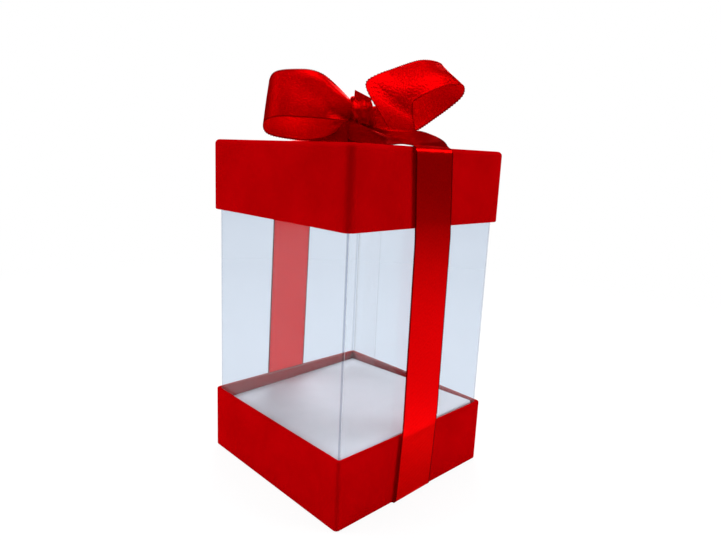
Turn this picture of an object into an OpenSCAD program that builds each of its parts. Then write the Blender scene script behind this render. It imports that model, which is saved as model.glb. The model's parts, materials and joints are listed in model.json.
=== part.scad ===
// Favour box: a clear folded sleeve between a red paper covered lid and base tray,
// closed by one satin ribbon that is tied in a bow on the lid.
// The box stands on the table at z = 0. The ribbon runs round it in the plane x = 0.

/* [Box] */
// Side of the square box, over its paper
box_w = 78; // [66:1:110]
// Height from the table to the top of the lid
closed_h = 127; // [100:1:200]
// Height of the base tray, over its paper
base_h = 25.6; // [20:0.1:34]
// Height of the lid, over its paper
lid_h = 26.7; // [20:0.1:34]
// Radius of the upright corners, over the paper
corner_r = 1.6; // [1.5:0.1:4]

/* [Board and paper] */
// Thickness of the grey board
board_t = 1; // [0.8:0.05:1.3]
// Thickness of the red covering paper
paper_t = 0.15; // [0.1:0.01:0.2]
// Depth of the paper turned in over the rim
turn_in = 15; // [8:1:16]
// Length of each leg of the paper stays that hold the corners
stay_leg = 10; // [6:1:14]
// Thickness of the corner stays
stay_t = 0.12; // [0.08:0.01:0.2]
// Thickness of the white paper that lines the tray floor
liner_t = 0.12; // [0.08:0.01:0.2]
// Gap between the liner sheet and the tray wall
liner_gap = 0.3; // [0.2:0.05:0.5]

/* [Clear sleeve] */
// Thickness of the clear film
film_t = 0.3; // [0.2:0.05:0.4]
// Outer radius of the folded corners
fold_r = 0.7; // [0.6:0.05:1]
// Width of the flap that is glued inside the last panel
seam_flap = 16.2; // [12:0.1:20]
// Slit between the end of the last panel and the fold
seam_slit = 0.4; // [0.3:0.05:0.6]
// Thickness of the clear glue line
glue_t = 0.08; // [0.05:0.01:0.1]
// Width of the clear glue line
glue_w = 10; // [6:0.5:11]
// Length without glue at each end of the seam
glue_margin = 2; // [1:0.5:5]

/* [Platform card] */
// Thickness of the white card
card_t = 0.5; // [0.35:0.05:0.7]
// Drop of the platform below the rim, at its middle
card_drop = 2.4; // [2:0.1:6]
// Lean of the platform about the X axis, in degrees
card_lean_x = -2.4; // [-3:0.1:3]
// Lean of the platform about the Y axis, in degrees
card_lean_y = -1.4; // [-2:0.1:2]
// Side of the notch cut from the card at each corner
card_notch = 0.8; // [0.7:0.1:2]

/* [Fits] */
// Gap between the sleeve and the tray walls
sleeve_gap = 0.2; // [0.15:0.05:0.5]
// Gap between the platform card and the sleeve
card_gap = 0.3; // [0.2:0.05:0.6]

/* [Ribbon] */
// Width of the satin ribbon
ribbon_w = 20; // [15:0.5:22]
// Thickness of the satin ribbon
ribbon_t = 0.25; // [0.2:0.05:0.35]
// Sideways shift of the front run where it turns under the base
front_foot_shift = -1.7; // [-4:0.1:4]
// Sideways shift of the front run along the sleeve
front_mid_shift = 0.1; // [-4:0.1:4]
// Sideways shift of the front run where it turns over the lid
front_top_shift = -2.2; // [-4:0.1:4]
// Sideways shift of the back run where it turns under the base
back_foot_shift = -3.5; // [-4:0.1:4]
// Sideways shift of the back run where it turns over the lid
back_top_shift = 0; // [-4:0.1:4]
// Distance over which the front run eases back to its line
run_ease = 4; // [2:0.5:10]
// Height at which the ribbon's underside lies on the lid's paper
run_lift = 0.06; // [0.05:0.01:0.1]

/* [Bow] */
// Turn of the bow on the lid, in degrees from the X axis
bow_turn = -43.3; // [-60:0.1:-30]
// Thickness of the knot, across the bow
knot_d = 9; // [7:0.1:9.4]
// Height of the knot
knot_h = 12.4; // [11:0.1:12.5]
// Length of the knot along the bow
knot_l = 7.4; // [6:0.1:7.5]
// Height of the middle of the knot above the lid
knot_z = 12.9; // [12.8:0.1:13.5]

/* [Hidden] */
$fn = 32;

overrun = board_t;
inner_corner_share = 0.3;
half_w = box_w / 2;
wall_t = board_t + 2 * paper_t;
floor_t = paper_t + board_t + liner_t;
base_top_z = ribbon_t + base_h;
lid_low_z = closed_h - lid_h;
floor_z = ribbon_t + floor_t;
ceiling_z = closed_h - floor_t;
split_z = (base_top_z + lid_low_z) / 2;
sleeve_half = half_w - wall_t - sleeve_gap;
sleeve_h = ceiling_z - floor_z;
film_inner = sleeve_half - film_t;
flap_inner = film_inner - glue_t - film_t;
card_half = flap_inner - card_gap;
card_z = base_top_z - card_drop;
card_reach = 2 * box_w;
pleat_share = 0.05;
pleats = 3;

// Rows of the bow's ribbons, from the knot outwards and back to it, as shares of the
// ribbon's width: [along the bow, away from the front, above the lid].
left_upper_shares = [
    [-0.13, -0.10, 0.84], [-0.40, -0.20, 1.08], [-0.66, -0.25, 1.24], [-0.91, -0.25, 1.30],
    [-1.17, -0.25, 1.30], [-1.43, -0.22, 1.29], [-1.61, -0.16, 1.25], [-1.73, -0.05, 1.18],
    [-1.75, 0.10, 1.12], [-1.66, 0.24, 1.02], [-1.36, 0.34, 0.98], [-0.98, 0.34, 0.98],
    [-0.58, 0.25, 0.90], [-0.32, 0.14, 0.78], [-0.13, 0.08, 0.70]
];
left_lower_shares = [
    [-0.13, -0.10, 0.47], [-0.36, -0.24, 0.47], [-0.62, -0.38, 0.47], [-0.87, -0.47, 0.47],
    [-1.12, -0.50, 0.47], [-1.38, -0.46, 0.45], [-1.58, -0.34, 0.37], [-1.73, -0.12, 0.24],
    [-1.76, 0.10, 0.16], [-1.62, 0.25, 0.10], [-1.24, 0.33, 0.06], [-0.99, 0.33, 0.08],
    [-0.75, 0.28, 0.15], [-0.50, 0.20, 0.28], [-0.13, 0.08, 0.50]
];
right_upper_shares = [
    [0.27, 0.06, 0.74], [0.36, 0.20, 0.86], [0.46, 0.32, 1.02], [0.66, 0.40, 1.20],
    [0.88, 0.44, 1.36], [1.10, 0.44, 1.47], [1.32, 0.38, 1.52], [1.46, 0.24, 1.54],
    [1.49, 0.05, 1.54], [1.38, -0.14, 1.55], [1.12, -0.30, 1.56], [0.82, -0.38, 1.49],
    [0.52, -0.40, 1.37], [0.26, -0.38, 1.25], [0.03, -0.32, 1.07], [0.02, -0.25, 1.05]
];
right_lower_shares = [
    [0.27, 0.06, 0.50], [0.42, 0.08, 0.36], [0.60, 0.13, 0.26], [0.88, 0.20, 0.26],
    [1.14, 0.22, 0.36], [1.40, 0.22, 0.55], [1.62, 0.20, 0.72], [1.83, 0.14, 0.89],
    [1.92, -0.02, 1.02], [1.83, -0.20, 1.10], [1.62, -0.37, 1.13], [1.40, -0.45, 1.02],
    [1.12, -0.50, 0.82], [0.86, -0.50, 0.62], [0.56, -0.38, 0.30], [0.52, -0.30, 0.29]
];
// Outline of the short tail behind the knot, as shares of the ribbon's width:
// [along the bow, above the lid].
tail_shares = [[-0.10, 0.97], [0.18, 0.85], [0.21, 0.45], [-0.08, 0.45]];

// Rows of the two runs over the lid, from its edge to the knot: [sideways and above the
// lid as shares of the ribbon's width, from the middle as a share of half the box].
front_run_left_shares = [
    [-0.61, -1, 0], [-0.607, -0.974, 0], [-0.60, -0.923, 0.025], [-0.575, -0.838, 0.06],
    [-0.54, -0.728, 0.10], [-0.48, -0.603, 0.12], [-0.39, -0.41, 0.18], [-0.30, -0.205, 0.27],
    [-0.25, -0.004, 0.325]
];
front_run_right_shares = [
    [0.39, -1, 0], [0.39, -0.974, 0.001], [0.39, -0.923, 0.085], [0.38, -0.838, 0.17],
    [0.35, -0.728, 0.24], [0.325, -0.603, 0.28], [0.30, -0.41, 0.245], [0.28, -0.205, 0.23],
    [0.26, -0.004, 0.29]
];
back_run_left_shares = [
    [-0.50, 1, 0], [-0.50, 0.974, 0], [-0.495, 0.923, 0.025], [-0.47, 0.82, 0.055],
    [-0.42, 0.667, 0.08], [-0.30, 0.462, 0.10], [-0.20, 0.308, 0.14], [-0.15, 0.154, 0.23],
    [-0.15, 0.004, 0.305]
];
back_run_right_shares = [
    [0.50, 1, 0], [0.50, 0.974, 0], [0.495, 0.923, 0.03], [0.475, 0.82, 0.07],
    [0.43, 0.667, 0.10], [0.35, 0.462, 0.12], [0.275, 0.308, 0.15], [0.225, 0.154, 0.23],
    [0.20, 0.004, 0.305]
];

// Square with rounded corners, centred on the origin
module round_square(half, r) {
    square([2 * half, 2 * (half - r)], center = true);
    square([2 * (half - r), 2 * half], center = true);
    for (x = [-1, 1], y = [-1, 1]) {
        translate([x * (half - r), y * (half - r)]) circle(r = r);
    }
}

// Upright block of the box's plan, drawn in by inset on every side
module box_block(inset, low, high) {
    r = max(corner_r - inset, inner_corner_share);
    translate([0, 0, low]) linear_extrude(high - low) round_square(half_w - inset, r);
}

// One paper stay round each upright corner of the board
module corner_stays(h) {
    intersection() {
        difference() {
            box_block(paper_t, paper_t + board_t, h - paper_t);
            box_block(paper_t + stay_t, 0, h);
        }
        for (x = [-1, 1], y = [-1, 1]) {
            translate([x * half_w, y * half_w, h / 2]) {
                cube([2 * stay_leg, 2 * stay_leg, h], center = true);
            }
        }
    }
}

// Tray of folded board, with its floor below
module tray_board(h) {
    difference() {
        box_block(paper_t, paper_t, h - paper_t);
        box_block(paper_t + board_t, paper_t + board_t, h);
        corner_stays(h);
    }
}

// Covering paper: under the floor, up the walls, over the rim and down inside
module tray_wrap(h) {
    difference() {
        box_block(0, 0, h);
        difference() {
            box_block(paper_t, paper_t, h - paper_t);
            box_block(paper_t + board_t, h - turn_in, h);
        }
        box_block(wall_t, paper_t + board_t, h + overrun);
    }
}

// Sheet that covers the floor and the edges of the turned in paper
module tray_liner() {
    box_block(paper_t + board_t + liner_gap, paper_t + board_t, floor_t);
}

module at_base() {
    translate([0, 0, ribbon_t]) children();
}

module at_lid() {
    translate([0, 0, closed_h]) mirror([0, 0, 1]) children();
}

module base_board() {
    color("lightgray") at_base() tray_board(base_h);
}

module base_corner_stays() {
    color("tan") at_base() corner_stays(base_h);
}

module base_wrap() {
    color([0.65, 0, 0]) at_base() tray_wrap(base_h);
}

module base_liner() {
    color("white") at_base() tray_liner();
}

module lid_board() {
    color("lightgray") at_lid() tray_board(lid_h);
}

module lid_corner_stays() {
    color("tan") at_lid() corner_stays(lid_h);
}

module lid_wrap() {
    color([0.65, 0, 0]) at_lid() tray_wrap(lid_h);
}

module lid_liner() {
    color("white") at_lid() tray_liner();
}

// One strip of film folded into a square tube. It starts with the flap inside the +X
// panel, runs round the other three sides and ends on the +X panel's outer layer.
module sleeve() {
    color("lightcyan", 0.4) translate([0, 0, floor_z]) linear_extrude(sleeve_h) {
        difference() {
            round_square(sleeve_half, fold_r);
            round_square(film_inner, fold_r - film_t);
            translate([flap_inner + film_t, film_inner - fold_r - seam_slit]) {
                square([fold_r + film_t + glue_t, seam_slit]);
            }
        }
        translate([flap_inner, sleeve_half - seam_flap]) {
            square([film_t, seam_flap - film_t]);
        }
    }
}

module sleeve_seam_glue() {
    color("white", 0.5) translate([0, 0, floor_z + glue_margin]) {
        linear_extrude(sleeve_h - 2 * glue_margin) {
            translate([film_inner - glue_t, sleeve_half - seam_flap]) {
                square([glue_t, glue_w]);
            }
        }
    }
}

// Space above a plane that leans with the platform, a given distance above it
module above_platform(rise) {
    translate([0, 0, card_z]) rotate([card_lean_x, card_lean_y, 0]) {
        translate([-card_reach / 2, -card_reach / 2, rise]) {
            cube([card_reach, card_reach, card_reach]);
        }
    }
}

// White card folded down into a skirt on each side, with open corners
module platform_card() {
    color("white") difference() {
        translate([-card_half, -card_half, floor_z]) {
            cube([2 * card_half, 2 * card_half, base_h]);
        }
        above_platform(0);
        difference() {
            translate([card_t - card_half, card_t - card_half, floor_z - overrun]) {
                cube([2 * (card_half - card_t), 2 * (card_half - card_t), base_h + overrun]);
            }
            above_platform(-card_t);
        }
        difference() {
            for (x = [-1, 1], y = [-1, 1]) {
                translate([x * card_half, y * card_half, card_z / 2]) {
                    cube([2 * card_notch, 2 * card_notch, card_z * 2], center = true);
                }
            }
            above_platform(-card_t);
        }
    }
}

// Outline of a ribbon run that keeps its width, from [height, sideways shift] stations
function run_outline(stations) = concat(
    [for (s = stations) [s[1] - ribbon_w / 2, s[0]]],
    [for (i = [len(stations) - 1 : -1 : 0]) [stations[i][1] + ribbon_w / 2, stations[i][0]]]
);

function mix(a, b, share) = a + (b - a) * share;

back_split_shift = mix(back_foot_shift, back_top_shift, split_z / closed_h);
front_low_stations = [
    [ribbon_t, front_foot_shift], [base_top_z + run_ease, front_mid_shift],
    [split_z, front_mid_shift]
];
front_high_stations = [
    [split_z, front_mid_shift], [lid_low_z - run_ease, front_mid_shift],
    [closed_h + ribbon_t, front_top_shift]
];
back_low_stations = [[ribbon_t, back_foot_shift], [split_z, back_split_shift]];
back_high_stations = [[split_z, back_split_shift], [closed_h + ribbon_t, back_top_shift]];

// Upright run that lies against the wall of the box on one side
module side_run(stations, y) {
    color([0.8, 0, 0]) translate([0, y + ribbon_t, 0]) rotate([90, 0, 0]) {
        linear_extrude(ribbon_t) polygon(run_outline(stations));
    }
}

module ribbon_front_lower() {
    side_run(front_low_stations, -half_w - ribbon_t);
}

module ribbon_front_upper() {
    side_run(front_high_stations, -half_w - ribbon_t);
}

module ribbon_back_lower() {
    side_run(back_low_stations, half_w);
}

module ribbon_back_upper() {
    side_run(back_high_stations, half_w);
}

// Run under the base, on which the whole box stands
module ribbon_under_run() {
    reach = half_w + ribbon_t;
    color([0.8, 0, 0]) linear_extrude(ribbon_t) {
        polygon(run_outline([[-reach, front_foot_shift], [reach, back_foot_shift]]));
    }
}

// Point on a smooth curve through the given points, with u from 0 to 1
function curve_point(points, u) =
    let (
        spans = len(points) - 1,
        i = min(floor(u * spans), spans - 1),
        f = u * spans - i,
        p0 = points[max(i - 1, 0)],
        p1 = points[i],
        p2 = points[i + 1],
        p3 = points[min(i + 2, spans)]
    )
    p1 + f * (p2 - p0) / 2 + f * f * (2 * p0 - 5 * p1 + 4 * p2 - p3) / 2
        + f * f * f * (3 * p1 - p0 - 3 * p2 + p3) / 2;

function unit(v) = v / norm(v);

// Faces between the two skins of a strip of rows by lanes, and round its edge
function strip_faces(rows, lanes) =
    let (
        n = lanes + 1,
        far = (rows + 1) * n,
        edge = concat(
            [for (j = [0 : lanes - 1]) j],
            [for (i = [0 : rows - 1]) i * n + lanes],
            [for (j = [lanes : -1 : 1]) rows * n + j],
            [for (i = [rows : -1 : 1]) i * n]
        ),
        m = len(edge)
    )
    concat(
        [for (i = [0 : rows - 1], j = [0 : lanes - 1], k = [0, 1])
            k == 0 ? [i * n + j, i * n + j + 1, (i + 1) * n + j + 1]
                   : [i * n + j, (i + 1) * n + j + 1, (i + 1) * n + j]],
        [for (i = [0 : rows - 1], j = [0 : lanes - 1], k = [0, 1])
            k == 0 ? [far + i * n + j, far + (i + 1) * n + j + 1, far + i * n + j + 1]
                   : [far + i * n + j, far + (i + 1) * n + j, far + (i + 1) * n + j + 1]],
        [for (e = [0 : m - 1], k = [0, 1])
            k == 0 ? [edge[e], far + edge[(e + 1) % m], edge[(e + 1) % m]]
                   : [edge[e], far + edge[e], far + edge[(e + 1) % m]]]
    );

// Strip of ribbon between two curved edges, thickened to one side
module ribbon_strip(edge_a, edge_b, rows, lanes) {
    grid = [
        for (i = [0 : rows])
            let (a = curve_point(edge_a, i / rows), b = curve_point(edge_b, i / rows))
                [for (j = [0 : lanes]) mix(a, b, j / lanes)]
    ];
    base = [for (i = [0 : rows], j = [0 : lanes]) grid[i][j]];
    raised = [
        for (i = [0 : rows], j = [0 : lanes])
            let (
                along = grid[min(i + 1, rows)][j] - grid[max(i - 1, 0)][j],
                across = grid[i][min(j + 1, lanes)] - grid[i][max(j - 1, 0)]
            )
            grid[i][j] + ribbon_t * unit(cross(along, across))
    ];
    polyhedron(concat(base, raised), strip_faces(rows, lanes), convexity = 6);
}

module bow_place() {
    translate([0, 0, closed_h]) rotate([0, 0, bow_turn]) children();
}

module bow_left_loop() {
    color([0.75, 0, 0]) bow_place() {
        ribbon_strip(ribbon_w * left_lower_shares, ribbon_w * left_upper_shares, 56, 6);
    }
}

module bow_right_loop() {
    color([0.85, 0, 0]) bow_place() {
        ribbon_strip(ribbon_w * right_upper_shares, ribbon_w * right_lower_shares, 60, 6);
    }
}

function over_lid(shares) = [
    for (s = shares) [s[0] * ribbon_w, s[1] * half_w, closed_h + run_lift + s[2] * ribbon_w]
];

module ribbon_top_front() {
    color([0.6, 0, 0]) {
        ribbon_strip(over_lid(front_run_right_shares), over_lid(front_run_left_shares), 32, 6);
    }
}

module ribbon_top_back() {
    color([0.6, 0, 0]) {
        ribbon_strip(over_lid(back_run_left_shares), over_lid(back_run_right_shares), 32, 6);
    }
}

// Waisted barrel about the bow's own line, with the shallow pleats of gathered ribbon
module bow_knot() {
    rings = 16;
    sides = 24;
    knot_middle_share = 0.18;
    end_share = 0.6;
    swell = function (t) (end_share + (1 - end_share) * sin(180 * t))
        * (1 - pleat_share * (1 - cos(360 * pleats * t)) / 2);
    points = [
        for (i = [0 : rings], j = [0 : sides - 1])
            let (t = i / rings, turn = 360 * j / sides)
                [
                    knot_l * (t - 1 / 2 + knot_middle_share),
                    knot_d / 2 * swell(t) * cos(turn),
                    knot_z + knot_h / 2 * swell(t) * sin(turn)
                ]
    ];
    walls = [
        for (i = [0 : rings - 1], j = [0 : sides - 1], k = [0, 1])
            let (a = i * sides + j, b = i * sides + (j + 1) % sides)
                k == 0 ? [a, a + sides, b + sides] : [a, b + sides, b]
    ];
    first_cap = [for (j = [0 : sides - 1]) j];
    last_cap = [for (j = [sides - 1 : -1 : 0]) rings * sides + j];
    color([0.7, 0, 0]) bow_place() {
        polyhedron(points, concat(walls, [first_cap], [last_cap]), convexity = 4);
    }
}

// Trimmed end of the ribbon that stands up behind the knot
module bow_tail() {
    color([0.55, 0, 0]) bow_place() translate([0, knot_d / 2 + ribbon_t, 0]) {
        rotate([90, 0, 0]) linear_extrude(ribbon_t) polygon(ribbon_w * tail_shares);
    }
}

base_board();
base_corner_stays();
base_wrap();
base_liner();
platform_card();
sleeve();
sleeve_seam_glue();
lid_board();
lid_corner_stays();
lid_wrap();
lid_liner();
ribbon_under_run();
ribbon_front_lower();
ribbon_front_upper();
ribbon_back_lower();
ribbon_back_upper();
ribbon_top_front();
ribbon_top_back();
bow_left_loop();
bow_right_loop();
bow_knot();
bow_tail();
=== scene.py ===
"""Looks of a favour box: red paper trays, a clear folded sleeve, a white platform card and
one red satin ribbon that runs round the box and is tied in a bow on the lid.

Lengths are in metres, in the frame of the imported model, with the table at z = 0."""

import json
import math

import bpy
import numpy as np
from mathutils import Matrix, Vector


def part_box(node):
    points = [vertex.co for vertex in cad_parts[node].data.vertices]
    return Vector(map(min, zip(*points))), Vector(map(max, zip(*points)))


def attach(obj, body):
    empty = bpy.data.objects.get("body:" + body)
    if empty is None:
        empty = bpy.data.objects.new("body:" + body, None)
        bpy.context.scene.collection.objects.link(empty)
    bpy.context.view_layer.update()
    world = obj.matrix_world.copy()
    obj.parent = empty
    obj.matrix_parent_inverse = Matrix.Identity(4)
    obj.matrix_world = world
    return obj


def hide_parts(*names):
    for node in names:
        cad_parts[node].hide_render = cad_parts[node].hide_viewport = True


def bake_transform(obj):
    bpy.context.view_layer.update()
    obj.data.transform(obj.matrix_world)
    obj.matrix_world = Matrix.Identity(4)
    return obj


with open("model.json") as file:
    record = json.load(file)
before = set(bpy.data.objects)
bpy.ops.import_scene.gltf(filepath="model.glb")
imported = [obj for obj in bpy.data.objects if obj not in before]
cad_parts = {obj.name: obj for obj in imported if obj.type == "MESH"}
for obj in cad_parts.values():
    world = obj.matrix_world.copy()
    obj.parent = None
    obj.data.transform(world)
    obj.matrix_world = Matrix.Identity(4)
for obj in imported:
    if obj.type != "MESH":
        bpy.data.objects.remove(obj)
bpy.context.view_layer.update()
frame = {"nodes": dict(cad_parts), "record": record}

MM = 0.001

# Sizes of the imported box
tray_low, tray_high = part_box("base_wrap")
lid_low, lid_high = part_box("lid_wrap")
film_low, film_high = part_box("sleeve")
card_low, card_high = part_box("platform_card")

HALF_W = tray_high.x
UNDERSIDE_Z = tray_low.z
RIM_Z = tray_high.z
LID_RIM_Z = lid_low.z
LID_TOP_Z = lid_high.z
SPLIT_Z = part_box("ribbon_front_lower")[1].z
PAPER_T = HALF_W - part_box("base_board")[1].x
BOARD_T = 1.0 * MM
WALL_T = BOARD_T + 2 * PAPER_T
TURN_IN = 15 * MM
BASE_CORNER_R = 1.6 * MM
LID_CORNER_R = 2.8 * MM
LEAST_CORNER_R = 0.3 * MM
# How far the lid's corners stand out, and the share along its side from which they do
LID_FLARE = 0.6 * MM
FLARE_START = 0.38
# Least distance from the axis that the flare counts with
NEAR_AXIS = 1.0 * MM
RIM_R = 0.5 * MM
BASE_EDGE_R = 0.5 * MM
LID_EDGE_R = 1.7 * MM
WALL_BULGE = 0.16 * MM
# How far into the walls the bulge fades
BULGE_DEPTH = 3 * WALL_T

RIBBON_W = 20 * MM
RIBBON_T = 0.15 * MM
SELVEDGE_T = 0.24 * MM
# Small loops of thread along both selvedges
LOOP_PITCH = 0.9 * MM
LOOP_REACH = 0.16 * MM


# Camera

CAMERA_PLACE = Vector((-0.15304, -0.16403, 0.12356))
CAMERA_HEADING = 0.764543
CAMERA_DIP = 0.198911
CAMERA_ROLL = 0.0455052
CAMERA_LENS = 28.66
SENSOR_WIDTH = 36
NEAREST_SEEN = 0.01
FARTHEST_SEEN = 50


def photo_camera():
    """Camera at the photograph's place. Heading turns it from +Y towards +X, dip lowers it,
    and roll turns it about its own line of sight."""
    data = bpy.data.cameras.new("photo_camera")
    data.sensor_width = SENSOR_WIDTH
    data.lens = CAMERA_LENS
    data.clip_start = NEAREST_SEEN
    data.clip_end = FARTHEST_SEEN
    camera = bpy.data.objects.new("photo_camera", data)
    bpy.context.scene.collection.objects.link(camera)
    ahead = Vector((
        math.sin(CAMERA_HEADING) * math.cos(CAMERA_DIP),
        math.cos(CAMERA_HEADING) * math.cos(CAMERA_DIP),
        -math.sin(CAMERA_DIP),
    ))
    level_right = ahead.cross(Vector((0, 0, 1))).normalized()
    level_up = level_right.cross(ahead)
    right = level_right * math.cos(CAMERA_ROLL) + level_up * math.sin(CAMERA_ROLL)
    up = level_up * math.cos(CAMERA_ROLL) - level_right * math.sin(CAMERA_ROLL)
    turned = Matrix((right, up, -ahead)).transposed().to_4x4()
    camera.matrix_world = Matrix.Translation(CAMERA_PLACE) @ turned
    bpy.context.scene.camera = camera


# Node helpers

class Finish:
    """Nodes of one material, or of the world. Most methods add a node, whose inputs take
    plain values or other nodes' sockets, and give the socket that the next one takes."""

    def __init__(self, owner, output="ShaderNodeOutputMaterial"):
        owner.use_nodes = True
        self.nodes = owner.node_tree.nodes
        self.links = owner.node_tree.links
        self.nodes.clear()
        self.output = self.nodes.new(output)

    def node(self, kind, inputs=None, **settings):
        """Node of a kind, with its settings and its inputs by name or number."""
        node = self.nodes.new(kind)
        for name, value in settings.items():
            setattr(node, name, value)
        for name, value in (inputs or {}).items():
            if isinstance(value, bpy.types.NodeSocket):
                self.links.new(value, node.inputs[name])
            else:
                node.inputs[name].default_value = value
        return node

    def shader(self, kind, inputs=None):
        """What a shader or other node of a kind gives first."""
        return self.node(kind, inputs).outputs[0]

    def surface(self, shader):
        """Makes a shader the surface's own."""
        self.links.new(shader, self.output.inputs["Surface"])

    def place(self):
        """Place on the piece, in metres."""
        return self.node("ShaderNodeTexCoord").outputs["Object"]

    def sheet_shares(self):
        """A sheet's own shares, across it and along it."""
        return self.node("ShaderNodeUVMap", uv_map="sheet_shares").outputs["UV"]

    def parts(self, vector):
        """The three parts of a vector."""
        return self.node("ShaderNodeSeparateXYZ", {0: vector}).outputs

    def maths(self, operation, first, second=0.5, clamp=False):
        """Sum of the named kind on sockets or numbers."""
        inputs = {0: first, 1: second}
        node = self.node("ShaderNodeMath", inputs, operation=operation, use_clamp=clamp)
        return node.outputs["Value"]

    def spread(self, value, low, high, at_low=0.0, at_high=1.0, kind="LINEAR"):
        """Value that goes from one to the other as the given one goes from low to high."""
        inputs = {
            "Value": value, "From Min": low, "From Max": high, "To Min": at_low,
            "To Max": at_high,
        }
        return self.node("ShaderNodeMapRange", inputs, interpolation_type=kind).outputs[0]

    def ramp(self, factor, low, high, first, second):
        """Colour that goes from first to second as the factor goes from low to high."""
        node = self.node("ShaderNodeValToRGB", {"Fac": factor})
        for stop, at, colour in zip(node.color_ramp.elements, (low, high), (first, second)):
            stop.position = at
            stop.color = (*colour, 1)
        return node.outputs["Color"]

    def mixed(self, factor, first, second, blend="MIX"):
        """Colour mixed from the first to the second by a factor."""
        inputs = {"Factor": factor, 6: first, 7: second}
        node = self.node("ShaderNodeMix", inputs, data_type="RGBA", blend_type=blend)
        return node.outputs[2]

    def shared(self, factor, first, second):
        """Shader mixed from the first to the second by a factor."""
        return self.shader("ShaderNodeMixShader", {"Fac": factor, 1: first, 2: second})

    def stretched(self, vector, scale):
        """The vector with each of its axes scaled."""
        node = self.node("ShaderNodeMapping", {"Vector": vector, "Scale": scale})
        return node.outputs["Vector"]

    def noise(self, vector, scale, detail=3.0, roughness=0.55):
        """Noise of the given scale."""
        return self.node("ShaderNodeTexNoise", {
            "Vector": vector, "Scale": scale, "Detail": detail, "Roughness": roughness,
        }).outputs["Fac"]

    def bump(self, height, depth, strength, under=None):
        """Bump of the given depth, laid over another bump's normal where one is given."""
        inputs = {"Height": height, "Distance": depth, "Strength": strength}
        if under is not None:
            inputs["Normal"] = under
        return self.node("ShaderNodeBump", inputs).outputs["Normal"]


def new_material(name):
    """Empty material, and the finish that its nodes go into."""
    material = bpy.data.materials.new(name)
    return material, Finish(material)


# Materials

PAPER_RED_DARK = (0.29, 0.0, 0.0005)
PAPER_RED_LIGHT = (0.36, 0.0, 0.001)
PAPER_FIBRE_STRETCH = (1.0, 1.0, 0.55)
# Stretch of the satin's patterns, in turns a ribbon's width across and along it
FLOATS = (150, 16, 1)
GLINTS = (30, 24, 1)
RIBS = (3.2, 7.5, 1)
SATIN_THROUGH = (0.95, 0.0, 0.002, 1)
# Shares of the ribbon's width from its middle at which the selvedge starts and is whole
SELVEDGE_START = 0.462
SELVEDGE_WHOLE = 0.476
PANEL_TINT = (0.894, 0.920, 0.953, 1)
FLAP_TINT = (0.996, 0.997, 0.998, 1)
# Tint of the dark line along each fold: painted shade
SCORE_SHADE_TINT = (0.70, 0.73, 0.79, 1)
FILM_GLOSS = (0.95, 0.97, 1.0, 1)
# White of the pale line along each fold: painted highlight
SCORE_HIGHLIGHT_WHITE = (0.88, 0.9, 0.92, 1)
FILM_HAZE = 0.018
FILM_FACING_GLOSS = 0.011
# Lines of a scored fold, painted shade and highlight: share across the fold and half width
DARK_SCORE = (0.42, 0.40)
PALE_SCORE = (0.88, 0.14)
PALE_SCORE_SHARE = 0.26
SCORE_STEEPNESS = 2.6
# How far from the box's middle, as x plus y, the folds' painted lines are strongest and
# weakest, and how strong at the weakest
STRONGEST_FOLD_LINES_AT = -0.05
WEAKEST_FOLD_LINES_AT = 0.05
WEAKEST_FOLD_LINES = 0.45


def red_paper():
    """Dyed red covering paper: fine fibres, faint clouds of colour and a soft surface."""
    material, finish = new_material("red_paper")
    place = finish.place()
    clouds = finish.noise(place, scale=55, detail=4)
    fibres = finish.noise(finish.stretched(place, PAPER_FIBRE_STRETCH), scale=2600, detail=2)
    grain = finish.noise(place, scale=900, detail=3)
    tint = finish.ramp(clouds, 0.3, 0.72, PAPER_RED_DARK, PAPER_RED_LIGHT)
    speck = finish.ramp(fibres, 0.3, 0.8, (0.93, 0.9, 0.9), (1.05, 1.0, 1.0))
    soft = finish.bump(grain, depth=0.035 * MM, strength=0.8)
    fine = finish.bump(fibres, depth=0.012 * MM, strength=0.8, under=soft)
    finish.surface(finish.shader("ShaderNodeBsdfPrincipled", {
        "Base Color": finish.mixed(1.0, tint, speck, blend="MULTIPLY"),
        "Roughness": 0.55, "Metallic": 0.03, "Normal": fine,
        "Specular IOR Level": 0.0, "Specular Tint": (1.0, 0.02, 0.02, 1),
    }))
    return material


def satin_skin(finish, flat, selvedge, sparkle_depth, dark, bright, edge):
    """Satin's outside: long floats of thread along the ribbon, glints, and faint ribs
    aslant. The thread's colour goes from dark to bright with them, up to the selvedge."""
    floats = finish.noise(finish.stretched(flat, FLOATS), scale=1.0, detail=2)
    glints = finish.noise(finish.stretched(flat, GLINTS), scale=1.0, detail=3)
    ribs = finish.node("ShaderNodeTexWave", {
        "Vector": finish.stretched(flat, RIBS), "Scale": 1.0, "Distortion": 2.2,
        "Detail": 2.0,
    }, bands_direction="DIAGONAL").outputs["Fac"]
    shade = finish.maths(
        "ADD", finish.maths("MULTIPLY", floats, 0.4), finish.maths("MULTIPLY", glints, 0.6)
    )
    thread = finish.ramp(shade, 0.3, 0.7, (dark, 0.0, 0.0005), (bright, 0.0, 0.001))
    weave = finish.bump(ribs, depth=0.020 * MM, strength=0.8)
    sparkle = finish.bump(glints, depth=sparkle_depth, strength=0.9, under=weave)
    fine = finish.bump(floats, depth=0.018 * MM, strength=0.9, under=sparkle)
    tangent = finish.node(
        "ShaderNodeTangent", direction_type="UV_MAP", uv_map="sheet_shares"
    )
    return finish.shader("ShaderNodeBsdfPrincipled", {
        "Base Color": finish.mixed(finish.maths("MULTIPLY", selvedge, 0.9), thread, edge),
        "Metallic": 0.9, "Roughness": 0.34, "Anisotropic": 0.35, "Normal": fine,
        "Tangent": tangent.outputs["Tangent"],
        "Specular IOR Level": 0.04, "Specular Tint": (1.0, 0.03, 0.03, 1),
    })


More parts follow.
